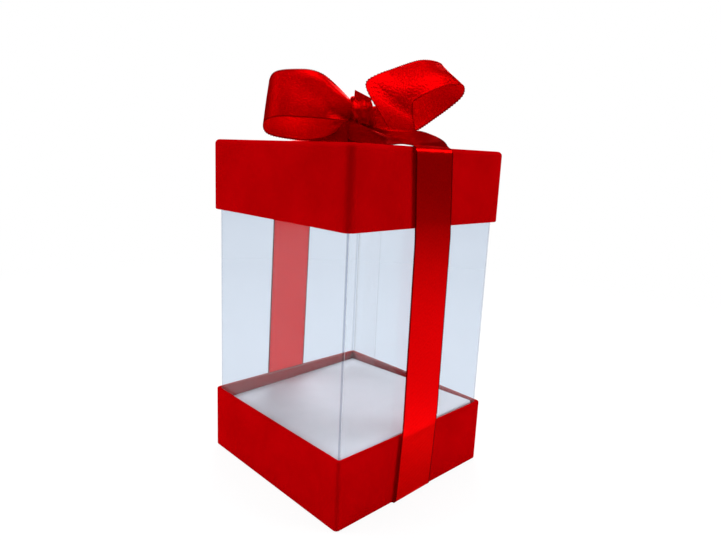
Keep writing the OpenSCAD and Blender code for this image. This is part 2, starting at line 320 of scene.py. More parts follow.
def red_satin(name, through_share, sparkle_depth, dark, bright, edge):
    """Red satin ribbon: coloured thread that shines across its floats and lets a share of
    the light through, and is darker along both selvedges. Light inside the
    ribbon leaves it by the other skin without a second loss."""
    material, finish = new_material(name)
    flat = finish.sheet_shares()
    across = finish.parts(flat)["X"]
    from_middle = finish.maths("ABSOLUTE", finish.maths("SUBTRACT", across, 0.5))
    selvedge = finish.spread(from_middle, SELVEDGE_START, SELVEDGE_WHOLE)
    edge_red = (edge, 0.0, 0.0005, 1)
    skin = satin_skin(finish, flat, selvedge, sparkle_depth, dark, bright, edge_red)
    through = finish.shader("ShaderNodeBsdfTranslucent", {
        "Color": finish.mixed(selvedge, SATIN_THROUGH, edge_red),
    })
    outside = finish.shared(through_share, skin, through)
    inside = finish.node("ShaderNodeNewGeometry").outputs["Backfacing"]
    leaving = finish.shader("ShaderNodeBsdfTransparent")
    finish.surface(finish.shared(inside, outside, leaving))
    return material


def running_on():
    """Where the ribbon is cut, the real one runs on: nothing is seen of the cut."""
    material, finish = new_material("running_on")
    finish.surface(finish.shader("ShaderNodeBsdfTransparent"))
    return material


def score_line(finish, across, line, line_strength):
    """Line of a scored fold, painted light and shade, across the fold: one less the distance
    from the line's middle over its half width, made steeper and cut off at one, so that it
    has a flat top. It is as strong as the given line strength."""
    middle, half_width = line
    apart = finish.maths("ABSOLUTE", finish.maths("SUBTRACT", across, middle))
    fall = finish.maths("DIVIDE", apart, half_width)
    rise = finish.maths("SUBTRACT", 1.0, fall, clamp=True)
    top = finish.maths("MULTIPLY", rise, SCORE_STEEPNESS, clamp=True)
    return finish.maths("MULTIPLY", top, line_strength)


def fold_line_strength(finish, place):
    """Strength of the folds' painted lines of shade and highlight: most at the near corner,
    least at the far one.
    """
    parts = finish.parts(place)
    depth = finish.maths("ADD", parts["X"], parts["Y"])
    return finish.spread(depth, STRONGEST_FOLD_LINES_AT, WEAKEST_FOLD_LINES_AT, 1.0, WEAKEST_FOLD_LINES)


def clear_film():
    """Clear, faintly blue film: what lies behind it shows, tinted, under a reflection that
    grows towards a grazing view by the usual fifth power. Each fold is scored, and its lines
    are painted: a darker see-through line of painted shade on one side of the score and a
    pale line of painted highlight on the other."""
    material, finish = new_material("clear_film")
    shares = finish.parts(finish.sheet_shares())
    fold, flap = shares["X"], shares["Y"]
    place = finish.place()
    line_strength = fold_line_strength(finish, place)
    # Lines along the folds: painted shade on one side, painted highlight on the other,
    # strongest at the near corner
    dark_score = score_line(finish, fold, DARK_SCORE, line_strength)
    pale_score = score_line(finish, fold, PALE_SCORE, line_strength)
    panel = finish.mixed(flap, PANEL_TINT, FLAP_TINT)
    clear = finish.shader("ShaderNodeBsdfTransparent", {
        "Color": finish.mixed(dark_score, panel, SCORE_SHADE_TINT),
    })
    facing = finish.node("ShaderNodeLayerWeight", {"Blend": 0.5}).outputs["Facing"]
    grazing = finish.maths("MULTIPLY", finish.maths("POWER", facing, 5.0), 0.5)
    waves = finish.noise(finish.stretched(place, (1, 1, 0.4)), scale=30, detail=2)
    gloss = finish.shader("ShaderNodeBsdfGlossy", {
        "Roughness": 0.12, "Color": FILM_GLOSS,
        "Normal": finish.bump(waves, depth=1.2 * MM, strength=0.5),
    })
    glossy = finish.shared(finish.maths("ADD", grazing, FILM_FACING_GLOSS), clear, gloss)
    # Pale line along each fold, painted highlight: a white matt share of the film
    pale_highlight = finish.shader("ShaderNodeBsdfDiffuse", {"Color": SCORE_HIGHLIGHT_WHITE})
    scored = finish.maths("MULTIPLY", pale_score, PALE_SCORE_SHARE)
    # Haze of the film, with the painted highlight of the folds added
    haze = finish.maths("ADD", scored, FILM_HAZE)
    finish.surface(finish.shared(haze, glossy, pale_highlight))
    return material


def clear_glue():
    """Dried clear glue: almost nothing but a faint milkiness, in streaks up the seam."""
    material, finish = new_material("clear_glue")
    place = finish.place()
    streaks = finish.noise(finish.stretched(place, (1, 1, 0.08)), scale=700, detail=2)
    milky = finish.spread(streaks, 0.35, 0.8, 0.004, 0.02)
    clear = finish.shader("ShaderNodeBsdfTransparent")
    haze = finish.shader("ShaderNodeBsdfPrincipled", {
        "Base Color": (0.9, 0.92, 0.95, 1), "Roughness": 0.35,
    })
    finish.surface(finish.shared(milky, clear, haze))
    return material


def pulp(name, dark, light, scale, depth, roughness):
    """Paper or board: two shades of pulp in small clouds, with a fibrous surface."""
    material, finish = new_material(name)
    place = finish.place()
    clouds = finish.noise(place, scale=scale * 0.08, detail=4)
    fibres = finish.noise(place, scale=scale, detail=4, roughness=0.65)
    both = finish.maths(
        "ADD", finish.maths("MULTIPLY", clouds, 0.5), finish.maths("MULTIPLY", fibres, 0.5)
    )
    finish.surface(finish.shader("ShaderNodeBsdfPrincipled", {
        "Base Color": finish.ramp(both, 0.35, 0.65, dark, light),
        "Roughness": roughness, "Normal": finish.bump(fibres, depth, strength=0.8),
        "Specular IOR Level": 0.25,
    }))
    return material


def white_card():
    """Smooth white card of the platform, painted a darker blue-grey: painted shade of the
    box's inside.
    """
    return pulp(
        "white_card", (0.465, 0.48, 0.515), (0.515, 0.53, 0.565), scale=1100,
        depth=0.02 * MM, roughness=0.6,
    )


def white_liner():
    """White paper on the inside of both trays."""
    return pulp(
        "white_liner", (0.76, 0.755, 0.75), (0.83, 0.825, 0.82), scale=1500,
        depth=0.02 * MM, roughness=0.7,
    )


def grey_board():
    """Grey board of the trays, with its coarse pulp."""
    return pulp(
        "grey_board", (0.21, 0.195, 0.175), (0.36, 0.34, 0.31), scale=1900,
        depth=0.06 * MM, roughness=0.9,
    )


def stay_paper():
    """Brown gummed paper of the corner stays."""
    return pulp(
        "stay_paper", (0.33, 0.22, 0.12), (0.45, 0.31, 0.18), scale=1700,
        depth=0.03 * MM, roughness=0.7,
    )


def bare_paper():
    """Undyed side of the covering paper."""
    return pulp(
        "bare_paper", (0.66, 0.60, 0.58), (0.76, 0.71, 0.69), scale=1800,
        depth=0.02 * MM, roughness=0.8,
    )


# Mesh helpers

def grid_faces(rows, cols, wrap_rows=False, wrap_cols=False, flip=False):
    """Quads between the neighbouring points of a grid of rows by columns."""
    last_row = rows if wrap_rows else rows - 1
    last_col = cols if wrap_cols else cols - 1
    i, j = np.meshgrid(np.arange(last_row), np.arange(last_col), indexing="ij")
    here = i * cols + j
    beside = i * cols + (j + 1) % cols
    above = (i + 1) % rows * cols + j
    across = (i + 1) % rows * cols + (j + 1) % cols
    corners = (here, beside, across, above) if flip else (here, above, across, beside)
    return np.stack(corners, -1).reshape(-1, 4)


def new_piece(name, points, faces, materials, shares=None, face_material=None, flat=0):
    """Smooth shaded piece from points and faces, with an optional UV share at each point.
    The given number of its last faces stay flat."""
    mesh = bpy.data.meshes.new(name)
    mesh.from_pydata(np.asarray(points).reshape(-1, 3).tolist(), [], faces)
    for material in materials:
        mesh.materials.append(material)
    if shares is not None:
        corner = np.zeros(len(mesh.loops), np.int32)
        mesh.loops.foreach_get("vertex_index", corner)
        layer = mesh.uv_layers.new(name="sheet_shares")
        layer.data.foreach_set("uv", shares.reshape(-1, 2)[corner].ravel())
    if face_material is not None:
        mesh.polygons.foreach_set("material_index", np.asarray(face_material, np.int32))
    smooth = np.arange(len(mesh.polygons)) < len(mesh.polygons) - flat
    mesh.polygons.foreach_set("use_smooth", smooth)
    mesh.validate()
    mesh.update()
    piece = bpy.data.objects.new(name, mesh)
    bpy.context.scene.collection.objects.link(piece)
    return piece


def spline(points, count):
    """Natural cubic spline through the points, at count even steps of point number. The
    second slopes solve the usual rows of 1, 4, 1, with nought at both ends."""
    points = np.asarray(points, float)
    last = len(points) - 1
    rows = np.eye(last + 1)
    inner = np.arange(1, last)
    rows[inner, inner - 1] = 1
    rows[inner, inner] = 4
    rows[inner, inner + 1] = 1
    right = np.zeros_like(points)
    right[1:-1] = 6 * (points[2:] - 2 * points[1:-1] + points[:-2])
    second = np.linalg.solve(rows, right)
    at = np.linspace(0, last, count)
    i = np.minimum(at.astype(int), last - 1)
    f = (at - i)[:, None]
    g = 1 - f
    return (
        g * points[i] + f * points[i + 1]
        + ((g ** 3 - g) * second[i] + (f ** 3 - f) * second[i + 1]) / 6
    )


def bell(distance, width):
    """One at no distance, and from there the exponential of minus half the square of the
    distance over the width."""
    return np.exp(-0.5 * (distance / width) ** 2)


def lengths_along(line):
    """Distance from a line's first point to each of its points."""
    steps = np.linalg.norm(np.diff(line, axis=0), axis=1)
    return np.concatenate([[0], np.cumsum(steps)])


def evenly(edges, spacing):
    """Edges of a strip, resampled so that their middle line has even steps."""
    at = lengths_along(edges.mean(0))
    count = int(round(at[-1] / spacing)) + 1
    wanted = np.linspace(0, at[-1], count)
    return np.stack([
        np.stack([np.interp(wanted, at, edge[:, axis]) for axis in range(3)], -1)
        for edge in edges
    ])


def smoothed(line, reach):
    """Line whose points are each a bell weighted mean of reach points on either side, with
    both ends kept."""
    at = np.arange(-reach, reach + 1)
    weight = bell(at, reach / 2)
    weight /= weight.sum()
    before = 2 * line[0] - line[1:reach + 1][::-1]
    after = 2 * line[-1] - line[-reach - 1:-1][::-1]
    longer = np.concatenate([before, line, after])
    return np.stack([np.convolve(longer[:, k], weight, "valid") for k in range(3)], -1)


def unit(vectors):
    """Vectors over their own lengths."""
    return vectors / np.linalg.norm(vectors, axis=-1, keepdims=True)


def grid_normals(surface, wrap_rows=False):
    """Unit normals of a grid: its direction along the rows crossed with that across them."""
    if wrap_rows:
        along = np.roll(surface, -1, 0) - np.roll(surface, 1, 0)
    else:
        along = np.gradient(surface, axis=0)
    return unit(np.cross(along, np.gradient(surface, axis=1)))


def smooth_step(low, high, value):
    """Nought at low, one at high, and between them three squares of the share less two
    cubes."""
    share = np.clip((value - low) / (high - low), 0, 1)
    return share * share * (3 - 2 * share)


END_SHARE = 0.02


def near_ends(rows):
    """Rows with one more close to each end, at a small share of the way to the next row,
    so that the shading turns on to the end within it."""
    first = (1 - END_SHARE) * rows[:1] + END_SHARE * rows[1:2]
    last = (1 - END_SHARE) * rows[-1:] + END_SHARE * rows[-2:-1]
    return np.concatenate([rows[:1], first, rows[1:-1], last, rows[-1:]])


def strip_piece(name, surface, half_t, materials, shares, wrap_rows=False, normals=None):
    """Closed strip: each skin lies half a thickness from the middle surface along its
    normal, and the skins meet along both edges and, unless the rows wrap, at both ends.
    Both ends take the last of the materials."""
    if normals is None:
        normals = grid_normals(surface, wrap_rows)
    if not wrap_rows:
        surface, normals, half_t, shares = (
            near_ends(values) for values in (surface, normals, half_t, shares)
        )
    rows, lanes = surface.shape[:2]
    off = normals * half_t[..., None]
    section = np.concatenate([surface + off, (surface - off)[:, ::-1]], 1)
    faces = grid_faces(rows, 2 * lanes, wrap_rows=wrap_rows, wrap_cols=True).tolist()
    caps = 0
    if not wrap_rows:
        j = np.arange(lanes - 1)
        cap = np.stack([j, j + 1, 2 * lanes - 2 - j, 2 * lanes - 1 - j], -1)
        faces += cap.tolist() + (cap[:, ::-1] + (rows - 1) * 2 * lanes).tolist()
        caps = 2 * len(cap)
    both = np.concatenate([shares, shares[:, ::-1]], 1)
    face_material = np.zeros(len(faces), int)
    face_material[len(faces) - caps:] = len(materials) - 1
    return new_piece(name, section, faces, materials, both, face_material, flat=caps)


# Plan of the box

SIDE_POINTS = 25
CORNER_POINTS = 9


def square_plan():
    """Plan of a rounded square, counterclockwise from above: points of the square that its
    corners' centres span, outward directions, and each point's share along its side."""
    side = np.linspace(-1, 1, SIDE_POINTS)
    turn = np.radians(np.linspace(-90, 0, CORNER_POINTS + 2)[1:-1])
    straight = np.stack([side, -np.ones_like(side)], -1)
    corner = np.tile([1.0, -1.0], (CORNER_POINTS, 1))
    core = np.concatenate([straight, corner])
    out = np.concatenate([
        np.tile([0.0, -1.0], (SIDE_POINTS, 1)),
        np.stack([np.cos(turn), np.sin(turn)], -1),
    ])
    share = np.concatenate([side, np.ones(CORNER_POINTS)])
    quarters = [np.linalg.matrix_power(np.array([[0, 1], [-1, 0]]), k) for k in range(4)]
    return (
        np.concatenate([core @ q for q in quarters]),
        np.concatenate([out @ q for q in quarters]),
        np.tile(share, 4),
    )


def plan_rings(profile, radius, bulge=0.0, reach=1.0):
    """Rings of a profile of (inset, height) points carried round the box's plan. The
    corner's radius shrinks with the inset. The walls bulge outwards by one less the
    square of the share along the side, times a half wave up the reach, and less so
    further in."""
    core, out, share = square_plan()
    inset, height = np.asarray(profile).T
    corner = np.maximum(radius - inset, np.minimum(LEAST_CORNER_R, HALF_W - inset))
    span = HALF_W - inset - corner
    plan = core * span[:, None, None] + out * corner[:, None, None]
    belly = bulge * (1 - share ** 2) * np.sin(np.pi * np.clip(height / reach, 0, 1))[:, None]
    near_wall = np.clip(1 - inset / BULGE_DEPTH, 0, 1)[:, None]
    plan = plan + out * (belly * near_wall)[..., None]
    up = np.broadcast_to(height[:, None, None], (*plan.shape[:2], 1))
    return np.concatenate([plan, up], -1)


def flared(points):
    """Lid's points with its corners drawn out a little by the folded paper: each point
    moves out from the axis by a share that grows, from clear of the ribbon to the corner,
    with the smaller of its two distances over the larger."""
    across = np.abs(points[..., :2])
    share = across.min(-1) / np.maximum(across.max(-1), NEAR_AXIS)
    grown = 1 + LID_FLARE / HALF_W * smooth_step(FLARE_START, 1.0, share)
    return points * np.stack([grown, grown, np.ones_like(grown)], -1)


def arc(centre, radius, start, end, count=7):
    """Points of an arc from start to end, in degrees from the first axis."""
    turn = np.radians(np.linspace(start, end, count))
    return np.stack(
        [centre[0] + radius * np.cos(turn), centre[1] + radius * np.sin(turn)], -1
    )


def line(start, end, count):
    """Points from start up to, and without, end."""
    share = np.linspace(0, 1, count, endpoint=False)[:, None]
    return np.asarray(start) * (1 - share) + np.asarray(end) * share


def closed_rings(name, rings, materials, flip=False, ring_material=None):
    """Piece from closed rings whose first and last meet a point at their own middles."""
    count, around = rings.shape[:2]
    faces = grid_faces(count, around, wrap_cols=True, flip=not flip)
    first = np.arange(around)
    after = np.roll(first, -1)
    last = first + (count - 1) * around
    after_last = after + (count - 1) * around
    low_pole = np.full(around, count * around)
    low_cap = np.stack([low_pole, after, first] if not flip else [low_pole, first, after], -1)
    high_pole = low_pole + 1
    high_cap = np.stack(
        [high_pole, last, after_last] if not flip else [high_pole, after_last, last], -1
    )
    points = np.concatenate([
        rings.reshape(-1, 3), rings[0].mean(0)[None], rings[-1].mean(0)[None]
    ])
    face_material = None
    if ring_material is not None:
        face_material = np.concatenate([
            np.repeat(ring_material, around), np.full(2 * around, ring_material[-1])
        ])
        face_material[-2 * around:-around] = ring_material[0]
    return new_piece(
        name, points, faces.tolist() + low_cap.tolist() + high_cap.tolist(), materials,
        face_material=face_material,
    )


# Trays

FACE_RINGS = 7
WALL_RINGS = 22
BOARD_EDGE_RINGS = 4
# The rings of a closed face end this far from its middle, and a point closes them
FACE_MIDDLE_R = 1.0 * MM


def paper_profile(tray_h, edge_r):
    """Profile of the covering paper from the middle of the tray's closed face: round its
    edge, up the wall, over the rim, down inside, and back along the paper's other side."""
    middle = HALF_W - FACE_MIDDLE_R
    deep = tray_h - TURN_IN
    inner = WALL_T - PAPER_T
    outer_skin = np.concatenate([
        line((middle, 0), (edge_r, 0), FACE_RINGS),
        arc((edge_r, edge_r), edge_r, 270, 180)[:-1],
        line((0, edge_r), (0, tray_h - RIM_R), WALL_RINGS),
        arc((RIM_R, tray_h - RIM_R), RIM_R, 180, 90),
        arc((WALL_T - RIM_R, tray_h - RIM_R), RIM_R, 90, 0)[:-1],
        line((WALL_T, tray_h - RIM_R), (WALL_T, deep), WALL_RINGS),
        [(WALL_T, deep)],
    ])
    skin_r = RIM_R - PAPER_T
    inner_skin = np.concatenate([
        line((inner, deep), (inner, tray_h - RIM_R), WALL_RINGS),
        arc((WALL_T - RIM_R, tray_h - RIM_R), skin_r, 0, 90),
        arc((RIM_R, tray_h - RIM_R), skin_r, 90, 180)[:-1],
        line((PAPER_T, tray_h - RIM_R), (PAPER_T, edge_r), WALL_RINGS),
        arc((edge_r, edge_r), edge_r - PAPER_T, 180, 270)[:-1],
        line((edge_r, PAPER_T), (middle, PAPER_T), FACE_RINGS),
        [(middle, PAPER_T)],
    ])
    bare = np.concatenate([
        np.zeros(len(outer_skin) - 1), np.ones(len(inner_skin))
    ]).astype(int)
    return np.concatenate([outer_skin, inner_skin]), bare


def board_profile(tray_h, edge_r):
    """Profile of the folded board, from the middle of its outer face to that of its inner
    face."""
    middle = HALF_W - FACE_MIDDLE_R
    outside, inside = PAPER_T + STAY_T, PAPER_T + BOARD_T
    top = tray_h - PAPER_T
    return np.concatenate([
        line((middle, outside), (edge_r, outside), FACE_RINGS),
        arc((edge_r, edge_r), edge_r - PAPER_T, 270, 180)[:-1],
        line((outside, edge_r), (outside, top), WALL_RINGS),
        line((outside, top), (inside, top), BOARD_EDGE_RINGS),
        line((inside, top), (inside, inside), WALL_RINGS),
        line((inside, inside), (middle, inside), FACE_RINGS),
        [(middle, inside)],
    ])


def base_paper(paper, bare):
    """Covering paper of the base: its profile carried round the plan, closed face down.
    The half wave of the walls' bulge is two trays high, so they bulge most at the rim."""
    tray_h = RIM_Z - UNDERSIDE_Z
    profile, bare_rings = paper_profile(tray_h, BASE_EDGE_R)
    rings = plan_rings(profile, BASE_CORNER_R, WALL_BULGE, 2 * tray_h)
    rings[..., 2] += UNDERSIDE_Z
    piece = closed_rings("base_paper", rings, [paper, bare], ring_material=bare_rings)
    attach(piece, "base")
    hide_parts("base_wrap")


def lid_paper(paper, bare):
    """Covering paper of the lid, as the base's but closed face up and with its corners
    flared."""
    tray_h = LID_TOP_Z - LID_RIM_Z
    profile, bare_rings = paper_profile(tray_h, LID_EDGE_R)
    rings = flared(plan_rings(profile, LID_CORNER_R, WALL_BULGE, 2 * tray_h))
    rings[..., 2] = LID_TOP_Z - rings[..., 2]
    piece = closed_rings(
        "lid_paper", rings, [paper, bare], flip=True, ring_material=bare_rings
    )
    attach(piece, "lid")
    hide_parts("lid_wrap")


def lid_core(board):
    """Folded board of the lid, with its edge as round as the paper's."""
    profile = board_profile(LID_TOP_Z - LID_RIM_Z, LID_EDGE_R)
    rings = flared(plan_rings(profile, LID_CORNER_R))
    rings[..., 2] = LID_TOP_Z - rings[..., 2]
    piece = closed_rings("lid_core", rings, [board], flip=True)
    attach(piece, "lid")
    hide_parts("lid_board")


STAY_T = 0.12 * MM
STAY_LEG = 10 * MM
STAY_LEG_POINTS = 4
STAY_ARC_POINTS = 11


def lid_stays(stay):
    """Gummed paper angles between the lid's board and its covering paper, one round each
    corner: a flat leg, the corner's arc and a second leg, turned by quarters."""
    outer = LID_CORNER_R - PAPER_T
    core = HALF_W - LID_CORNER_R
    straight = np.linspace(HALF_W - STAY_LEG, core, STAY_LEG_POINTS)[:-1]
    paths = []
    for radius in (outer, outer - STAY_T):
        leg = np.stack([straight, np.full_like(straight, -core - radius)], -1)
        corner = arc((core, -core), radius, -90, 0, STAY_ARC_POINTS)
        paths.append(np.concatenate([leg, corner, -leg[::-1, ::-1]]))
    low, high = LID_RIM_Z + PAPER_T, LID_TOP_Z - PAPER_T - LID_EDGE_R
    section = np.stack([
        np.insert(path, 2, up, axis=1)
        for path, up in zip((paths[0], paths[0], paths[1], paths[1]), (low, high, high, low))
    ], 1)
    count = section.shape[0] * section.shape[1]
    sides = grid_faces(*section.shape[:2], wrap_cols=True)
    ends = np.array([[0, 1, 2, 3], [count - 1, count - 2, count - 3, count - 4]])
    points, side_faces, end_faces = [], [], []
    for k in range(4):
        quarter = np.linalg.matrix_power(np.array([[0, 1, 0], [-1, 0, 0], [0, 0, 1]]), k)
        points.append(section.reshape(-1, 3) @ quarter)
        side_faces.append(sides + count * k)
        end_faces.append(ends + count * k)
    faces = np.concatenate(side_faces + end_faces).tolist()
    piece = new_piece(
        "lid_stays", flared(np.concatenate(points)), faces, [stay], flat=4 * len(ends)
    )
    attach(piece, "lid")
    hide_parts("lid_corner_stays")


# Clear sleeve

FILM_T = 0.28 * MM
FOLD_R = 0.7 * MM
FLAP_INSET = 0.38 * MM
FLAP_START_Y = 21.3 * MM
PANEL_POINTS = 20
FOLD_POINTS = 9
FILM_ROWS = 26
FILM_BOW = 0.22 * MM
FILM_BOW_POWER = 0.7


def film_plan():
    """Middle line of the strip of film in plan, each point's share across its fold, and
    whether it is on the flap. The strip starts as the flap inside the +X panel, folds into
    the +Y panel, runs round the box and ends on the +X panel's outer layer."""
    half = film_high.x - FILM_T / 2
    flap_x = half - FLAP_INSET
    core = half - FOLD_R
    across = np.linspace(0, 1, FOLD_POINTS)[:-1]
    flat = np.zeros(PANEL_POINTS)
    points = [
        line((flap_x, FLAP_START_Y), (flap_x, core), PANEL_POINTS),
        arc((flap_x - FOLD_R, core), FOLD_R, 0, 90, FOLD_POINTS)[:-1],
    ]
    folds = [flat, across]
    for turn in (90, 180, 270):
        c, s = math.cos(math.radians(turn)), math.sin(math.radians(turn))
        left = np.array([c * half + s * core, s * half - c * core])
        if turn == 90:
            left = np.array([flap_x - FOLD_R, half])
        right = np.array([c * half - s * core, s * half + c * core])
        centre = np.array([c * core - s * core, s * core + c * core])
        points += [
            line(left, right, PANEL_POINTS),
            arc(centre, FOLD_R, turn, turn + 90, FOLD_POINTS)[:-1],
        ]
        folds += [flat, across]
    points += [line((half, -core), (half, core), PANEL_POINTS), [(half, core)]]
    folds += [flat, [0.0]]
    folds = np.concatenate(folds)
    on_flap = (np.arange(len(folds)) < PANEL_POINTS).astype(float)
    return np.concatenate(points), folds, on_flap


def out_of_the_light(piece):
    """Lets all light by: clear film and glue hold back too little to count."""
    piece.visible_shadow = False
    piece.visible_diffuse = False


def film_sleeve(film):
    """The plan's line carried up the sleeve. Each panel bows inwards between its folds, by
    one less the square of the share across it, times a power of a half wave up the
    sleeve."""
    plan, folds, on_flap = film_plan()
    half = film_high.x
    share_up = np.linspace(0, 1, FILM_ROWS)
    across = np.clip(np.abs(plan).min(1) / half, 0, 1)
    bow_up = np.sin(np.pi * share_up)[:, None] ** FILM_BOW_POWER
    bow = FILM_BOW * (1 - across ** 2) * bow_up
    side = np.where(np.abs(plan[:, :1]) > np.abs(plan[:, 1:]), [1, 0], [0, 1])
    inwards = -np.sign(plan) * side
    flat = plan[None] + inwards * bow[..., None]
    height = film_low.z + share_up * (film_high.z - film_low.z)
    up = np.broadcast_to(height[:, None, None], (FILM_ROWS, len(plan), 1))
    surface = np.concatenate([flat, up], -1)[:, ::-1]
    shares = np.stack([folds[::-1], on_flap[::-1]], -1)
    shares = np.broadcast_to(shares[None], (FILM_ROWS, len(plan), 2))
    half_t = np.full(surface.shape[:2], FILM_T / 2)
    piece = strip_piece("film_sleeve", surface, half_t, [film], shares)
    out_of_the_light(piece)
    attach(piece, "sleeve")
    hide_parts("sleeve")


# Platform card

CARD_T = 0.5 * MM
CARD_FOLD_R = 0.8 * MM
CARD_TOP_POINTS = 27
CARD_SKIRT_POINTS = 10
CARD_SAG = 0.12 * MM
CARD_FOLD_POINTS = 5


def platform_top():
    """A point on the platform's upper face and the face's direction, from its mount."""
    mount = next(m for m in frame["record"]["mounts"] if m["name"] == "platform_top")
    return np.array(mount["pos_m"], float), np.array(mount["axis"], float)


def card_platform(card):
    """Card cut as a cross and folded down on four sides. Along each axis a point goes flat
    to the fold, round a quarter circle, and straight down to the tray's floor, so the
    corners of the cross, where both axes are past the fold, are left open. The flat part
    leans as its mount does, and sags by the product of one less each share squared."""
    half = card_high.x
    flat = half - CARD_FOLD_R
    point, axis = platform_top()
    top = np.linspace(-flat, flat, CARD_TOP_POINTS)
    turn = np.radians(np.linspace(0, 90, CARD_FOLD_POINTS + 1)[1:])
    fold = flat + CARD_FOLD_R * np.sin(turn)
    fold_drop = CARD_FOLD_R * (1 - np.cos(turn))
    skirt = np.full(CARD_SKIRT_POINTS, half)
    skirt_drop = np.linspace(0, 1, CARD_SKIRT_POINTS + 1)[1:]
    past = np.concatenate([fold, skirt])
    place = np.concatenate([-past[::-1], top, past])
    drop = np.concatenate([fold_drop, np.full(CARD_SKIRT_POINTS, CARD_FOLD_R)])
    drop = np.concatenate([drop[::-1], np.zeros(CARD_TOP_POINTS), drop])
    down = np.concatenate([np.zeros(len(turn)), skirt_drop])
    down = np.concatenate([down[::-1], np.zeros(CARD_TOP_POINTS), down])
    x, y = np.meshgrid(place, place, indexing="ij")
    drop = drop[:, None] + drop[None]
    down = down[:, None] + down[None]
    face = point[2] - (axis[0] * (x - point[0]) + axis[1] * (y - point[1])) / axis[2]
    sag = CARD_SAG * (1 - (x / half) ** 2) * (1 - (y / half) ** 2)
    z = (face - sag - drop) * (1 - down) + card_low.z * down
    count = len(place)
    faces = grid_faces(count, count)
    past_fold = np.abs(place) > flat
    corner = past_fold[:, None] & past_fold[None]
    faces = faces[~corner.ravel()[faces].any(1)]
    used, index = np.unique(faces, return_inverse=True)
    points = np.stack([x, y, z], -1).reshape(-1, 3)[used]
    piece = new_piece("card_platform", points, index.reshape(-1, 4).tolist(), [card])
    wall = piece.modifiers.new("card_thickness", "SOLIDIFY")
    wall.thickness = CARD_T
    wall.offset = -1
    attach(piece, "platform")
    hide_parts("platform_card")


# Ribbon

ROW_SPACING = 0.22 * MM
SELVEDGE_LANES = np.array([0.0, 0.012, 0.028, 0.048, 0.07])
INNER_LANES = np.linspace(0.1, 0.9, 25)
LANES = np.concatenate([SELVEDGE_LANES, INNER_LANES, 1 - SELVEDGE_LANES[::-1]])
# Lane of the ridge of the ribbon round the box, and how round the ridge is
RIDGE_LANE = 0.26
RIDGE_ROUNDNESS = 0.12
# Shares from the ribbon's edge: where the thick cord starts to thin and ends, and between
# which the edge itself thickens from its least share
CORD_LANES = (0.035, 0.06)
EDGE_LANES = (-0.006, 0.02)
EDGE_SHARE = 0.3
# Shares of a fold's run by which it has risen, and from which it fades
FOLD_RISEN = 0.15
FOLD_FADES = 0.6


def half_thickness(rows):
    """Half the ribbon's thickness at each lane: a thin field, thicker cords along the
    selvedges, and an edge that thins to under half of a cord."""
    from_edge = np.minimum(LANES, 1 - LANES)
    cord = 1 - smooth_step(*CORD_LANES, from_edge)
    edge = EDGE_SHARE + (1 - EDGE_SHARE) * smooth_step(*EDGE_LANES, from_edge)
    half = (RIBBON_T + (SELVEDGE_T - RIBBON_T) * cord) / 2 * edge
    return np.tile(half, (rows, 1))


def ribbon_shares(along):
    """Each row's and lane's share across the ribbon, and its place along it in widths."""
    return np.stack(np.broadcast_arrays(LANES[None], along[:, None] / RIBBON_W), -1)


def between(first, second):
    """Straight lanes from one edge of the ribbon to the other."""
    return first[:, None] * (1 - LANES[None, :, None]) + second[:, None] * LANES[None, :, None]


def over_ridge(first, ridge, second):
    """Lanes from one edge up to a ridge and on to the other edge. Each side leaves the
    ridge along a hyperbola, so the ridge is rounded."""
    before = (RIDGE_LANE - LANES) / RIDGE_LANE
    after = (LANES - RIDGE_LANE) / (1 - RIDGE_LANE)
    ramps = [
        0.5 * (side + np.sqrt(side ** 2 + RIDGE_ROUNDNESS ** 2))[None, :, None]
        for side in (before, after)
    ]
    centre = ridge[:, None]
    return centre + (first[:, None] - centre) * ramps[0] + (second[:, None] - centre) * ramps[1]


def fold_rise(row_share, folds):
    """Rise of the given folds. Each is (rows, lanes, width, height): a bell across the
    lanes, upside down where the height is negative, that runs through those rows and
    lanes, rises soon and fades at its end."""
    rise = np.zeros((len(row_share), len(LANES)))
    for rows, lanes, width, height in folds:
        lane_there = np.interp(row_share, rows, lanes)[:, None]
        span = (row_share - rows[0]) / (rows[-1] - rows[0])
        fade = smooth_step(0, FOLD_RISEN, span) * (1 - smooth_step(FOLD_FADES, 1, span))
        rise += height * fade[:, None] * bell(LANES[None] - lane_there, width)
    return rise


# Most spare width that is taken up, as a share of the span
SPARE_MOST = 4
ARCH_SHARE = 3 / 8


def ribbon_grid(plain, gather, cup, pleats, phase, folds=()):
    """Middle surface of the ribbon on its plain lanes, and its shares of ribbon widths.

    Where the lanes span less than the ribbon's width, the spare width goes into a cup,
    whose rise is the span times the root of three eighths of the spare share, and where
    it is gathered, into pleats, whose height is the span over pi and their number times
    the root of the spare share. Both, and the folds, are laid along the normal."""
    normals = grid_normals(plain)
    span = np.linalg.norm(np.diff(plain, axis=1), axis=-1).sum(1)
    spare = np.clip(RIBBON_W / span - 1, 0, SPARE_MOST)
    cup_rise = span * np.sqrt(ARCH_SHARE * spare * (1 - gather)) * cup
    pleat_rise = span / (np.pi * pleats) * np.sqrt(spare * gather)
    arch = 1 - (2 * LANES - 1) ** 2
    waves = np.cos(2 * np.pi * (pleats * LANES + phase))
    at = lengths_along(plain.mean(1))
    rise = cup_rise[:, None] * arch + pleat_rise[:, None] * waves
    rise += fold_rise(at / at[-1], folds)
    outward = unit(plain[:, -1] - plain[:, 0])
    scallop = LOOP_REACH * np.cos(2 * np.pi * at / LOOP_PITCH)[:, None, None]
    surface = plain + normals * rise[..., None]
    surface[:, :1] -= outward[:, None] * scallop
    surface[:, -1:] += outward[:, None] * scallop
    return surface, ribbon_shares(at)


def ribbon_piece(name, surface, shares, materials, normals=None):
    """Strip of ribbon, with the ribbon's half thickness across it."""
    piece = strip_piece(
        name, surface, half_thickness(len(surface)), materials, shares, normals=normals
    )
    return piece


# Ribbon round the box

